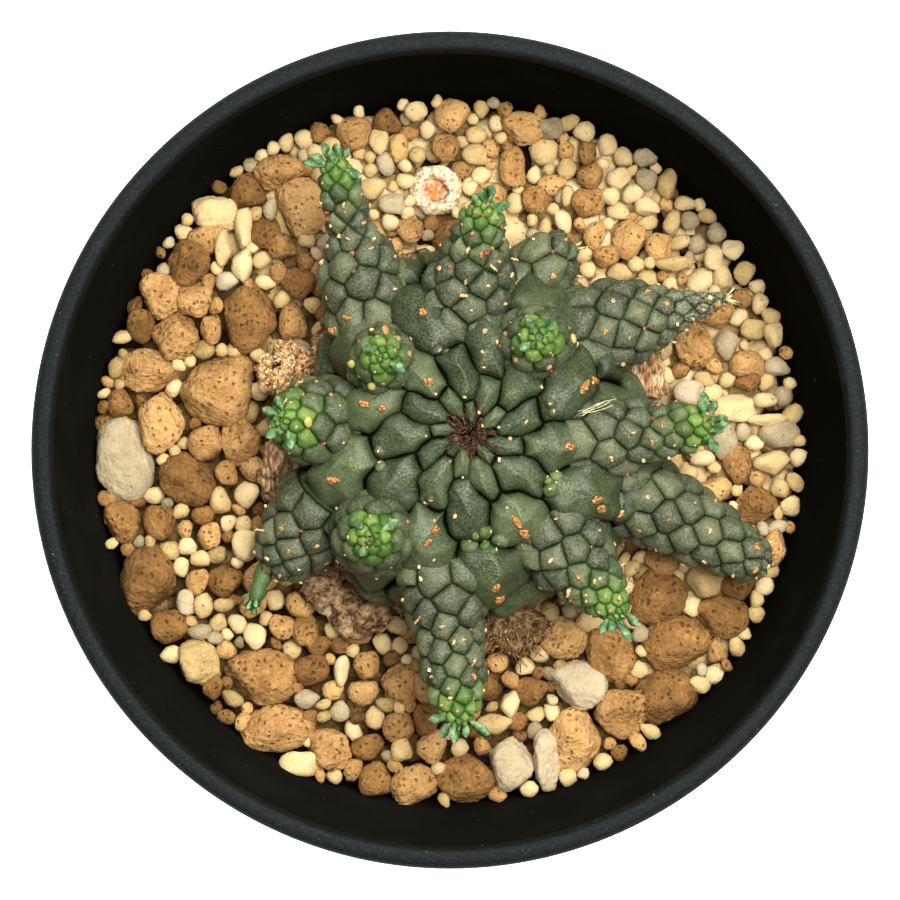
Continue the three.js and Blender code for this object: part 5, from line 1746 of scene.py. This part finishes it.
def make_straw():
    """Pale dry threads that lie by the right branch, and the dry tuft at the end of the right back branch."""
    rng = seeded(73)
    parts = Parts()
    for _ in range(7):
        start = STRAW_START + 8 * (rng.random(2) - 0.5)
        end = STRAW_END + 14 * (rng.random(2) - 0.5)
        side = np.array([0.5, 0.87]) * 8 * (rng.random() - 0.5)
        pixels = [start + (end - start) * t + side * 4 * t * (1 - t) for t in np.linspace(0, 1, 7)]
        lay_thread(parts, pixels, 0.045, 0.25, rng)
    point, tipward, across, up = branches["right_back"].frame_at(0.6)
    for _ in range(12):
        lean = 1.3 * (rng.random(2) - 0.5)
        aim = unit(tipward + across * lean[0] + up * lean[1])
        length = 0.9 + 1.3 * rng.random()
        curl = across * 0.3 * (rng.random() - 0.5)
        path = [point, point + aim * length * 0.5, point + aim * length + curl]
        points, faces = tube(path, [0.1, 0.08, 0.04], sides=5)
        parts.add(points, faces)
    dress(parts.make("dry_threads"), straw, "bark")


# Where the root fibres show: a corner and the size of the area, in pixels, and the level they stay below
ROOT_CORNER = (480, 606)
ROOT_AREA = (75, 48)
ROOT_LEVEL = 76


def make_root_fibres():
    """Brown fibres of dry root that hang from the bark at the front."""
    rng = seeded(81)
    parts = Parts()
    for _ in range(240):
        px, py = (corner + size * rng.random() for corner, size in zip(ROOT_CORNER, ROOT_AREA))
        place, normal = on_plant(px, py)
        if place is None or place[2] > ROOT_LEVEL:
            continue
        way = unit(np.array([rng.random() - 0.5, -0.5 * rng.random(), 0.6 * (rng.random() - 0.5)]))
        length = 1.2 + 2.4 * rng.random()
        curl = unit(rng.normal(size=3)) * 0.5
        path = [place - normal * 0.3, place + way * length * 0.4 + normal * 0.5 + curl * 0.4,
                place + way * length + normal * 0.15 + curl]
        points, faces = tube(path, [0.09, 0.08, 0.04], sides=4)
        parts.add(points, faces)
    dress(parts.make("root_fibres"), root_fibre, "bark")


# The middle of the torn stump, and the lines along which dried skin edges meet the bark, in pixels
STUMP_PIXEL = np.array([279, 366])
DRY_SEAMS = [
    ((329, 286), (311, 295), (304, 311), (300, 326)),
    ((317, 342), (314, 352), (314, 361), (315, 378), (318, 392)),
    ((266, 437), (273, 449), (281, 461), (287, 471), (290, 483), (282, 494)),
]


def make_torn_wood():
    """Curled fibres on the stump of a lost branch, and the dried edges of skin that stand on the bark."""
    rng = seeded(83)
    parts = Parts()
    for _ in range(120):
        radius = 3 + 13 * rng.random()
        start, span = FULL_TURN * rng.random(), 0.5 + 1.8 * rng.random()
        middle = STUMP_PIXEL + 11 * rng.normal(size=2)
        turns = np.linspace(start, start + span, 7)
        drift = np.linspace(1, 0.8 + 0.4 * rng.random(), 7)
        away = np.hypot(*(middle - STUMP_PIXEL))
        if away < radius < away + 5:
            continue
        pixels = middle + radius * drift[:, None] * np.stack([np.cos(turns), np.sin(turns)], axis=1)
        lay_thread(parts, pixels, 0.06 + 0.1 * rng.random(), -0.1, rng)
    for seam in DRY_SEAMS:
        for _ in range(3):
            pixels = np.array(seam) + 1.6 * (rng.random((len(seam), 2)) - 0.5)
            lay_thread(parts, pixels, 0.09 + 0.07 * rng.random(), 0.0, rng)
    piece = parts.make("torn_wood")
    roughen(piece, (0.12, 0.5))
    dress(piece, torn_wood, "bark")


SHOOT_FOOT = np.array([-23.9, -15.6, 77.4])
SHOOT_END = np.array([-25.3, -20, 77.8])


def make_side_shoot():
    """The thin soft stem at the front left, whose end is wrapped in small leaves."""
    axis = unit(SHOOT_END - SHOOT_FOOT)
    length = float(np.linalg.norm(SHOOT_END - SHOOT_FOOT))
    along = np.linspace(-0.8, length + 0.2, 14)
    bulge = [1.15 - 0.3 * smooth_step(a, 2.0, 4.6) + 0.1 * math.sin(2.6 * a) for a in along]
    ends = [max(0, (a - length + 0.8) / 1.02) for a in along]
    radii = [max(0.05, b * math.sqrt(max(0, 1 - end**2))) for b, end in zip(bulge, ends)]
    path = [SHOOT_FOOT + axis * a + [0, 0, 0.15 * math.sin(a)] for a in along]
    points, faces = tube(path, radii, sides=20)
    parts = Parts()
    young = np.clip((points[:, 1] + 24) / 14, 0.25, 0.55)
    parts.add(points, faces, rim=0.0, tone=0.4, young=young, worn=0.0)
    stem = parts.make("side_shoot_stem")
    roughen(stem, (0.2, 1.3))
    dress(stem, old_skin, "young_skin", "side_shoot_front_left")
    rng = seeded(29)
    leaves = Copies()
    for k in range(9):
        angle = GOLDEN_ANGLE * k
        side = unit(np.cross(axis, [0, 0, 1]))
        out = side * math.cos(angle) + np.cross(side, axis) * math.sin(angle)
        lean = 0.15 + 0.08 * k
        aim = Vector(axis * math.cos(lean) + out * math.sin(lean))
        foot = SHOOT_END - axis * (0.3 + 0.2 * k) + out * 0.5
        size = 1.5 + 0.5 * rng.random()
        turn = turn_to(aim, facing_spin(aim, Vector(out)))
        leaves.add(foot, turn, (0.9 * size, 0.9 * size, size), rng.random())
    leaves.make("side_shoot_leaves", leaf_templates, leaf_green, "young_skin", "side_shoot_front_left")


make_head_marks()
make_branch_marks()
make_apex_hair()
make_straw()
make_root_fibres()
make_torn_wood()
make_side_shoot()
for templates in (round_buds, flat_marks, stub_shapes, leaf_templates, strand_templates):
    drop_templates(templates)

# Floor, light and camera

# Wide enough that its edge stays out of the picture in a view from low down
FLOOR_HALF = 5000


def make_stage():
    corners = [(x * FLOOR_HALF, y * FLOOR_HALF, -0.2) for x, y in ((-1, -1), (1, -1), (1, 1), (-1, 1))]
    floor = add_mesh("floor", corners, [(0, 1, 2, 3)])
    # Backdrop paper: matt and evenly white
    material, add, _ = start_material("white_backdrop_paper")
    glow = {"Emission Color": colour("#ffffff"), "Emission Strength": 0.9}
    finish_material(add, colour("#ffffff"), 0.9, **glow)
    floor.data.materials.append(material)
    world = bpy.data.worlds.new("soft_studio")
    world.use_nodes = True
    background = world.node_tree.nodes["Background"]
    background.inputs["Color"].default_value = colour("#ffffff")
    background.inputs["Strength"].default_value = 0.36
    bpy.context.scene.world = world
    for name, place, size, power in (
        ("softbox_above", (0.13, 0.1, 0.65), 0.36, 8.7),
        ("softbox_behind", (-0.1, 0.8, 0.8), 0.6, 6.0),
    ):
        light = bpy.data.lights.new(name, "AREA")
        light.size = size
        light.energy = power
        lamp = bpy.data.objects.new(name, light)
        lamp.location = place
        aim = Vector((0, 0, 0.08)) - Vector(place)
        lamp.rotation_euler = aim.to_track_quat("-Z", "Y").to_euler()
        bpy.context.scene.collection.objects.link(lamp)


def make_camera():
    camera = bpy.data.cameras.new("overhead")
    camera.lens = CAMERA_LENS
    camera.sensor_width = CAMERA_SENSOR
    camera.clip_start = 0.01
    camera.clip_end = 10
    placed = bpy.data.objects.new("overhead", camera)
    placed.location = (0, 0, CAMERA_HEIGHT * MM)
    bpy.context.scene.collection.objects.link(placed)
    bpy.context.scene.camera = placed


make_stage()
make_camera()
bpy.context.scene.view_settings.view_transform = "Standard"
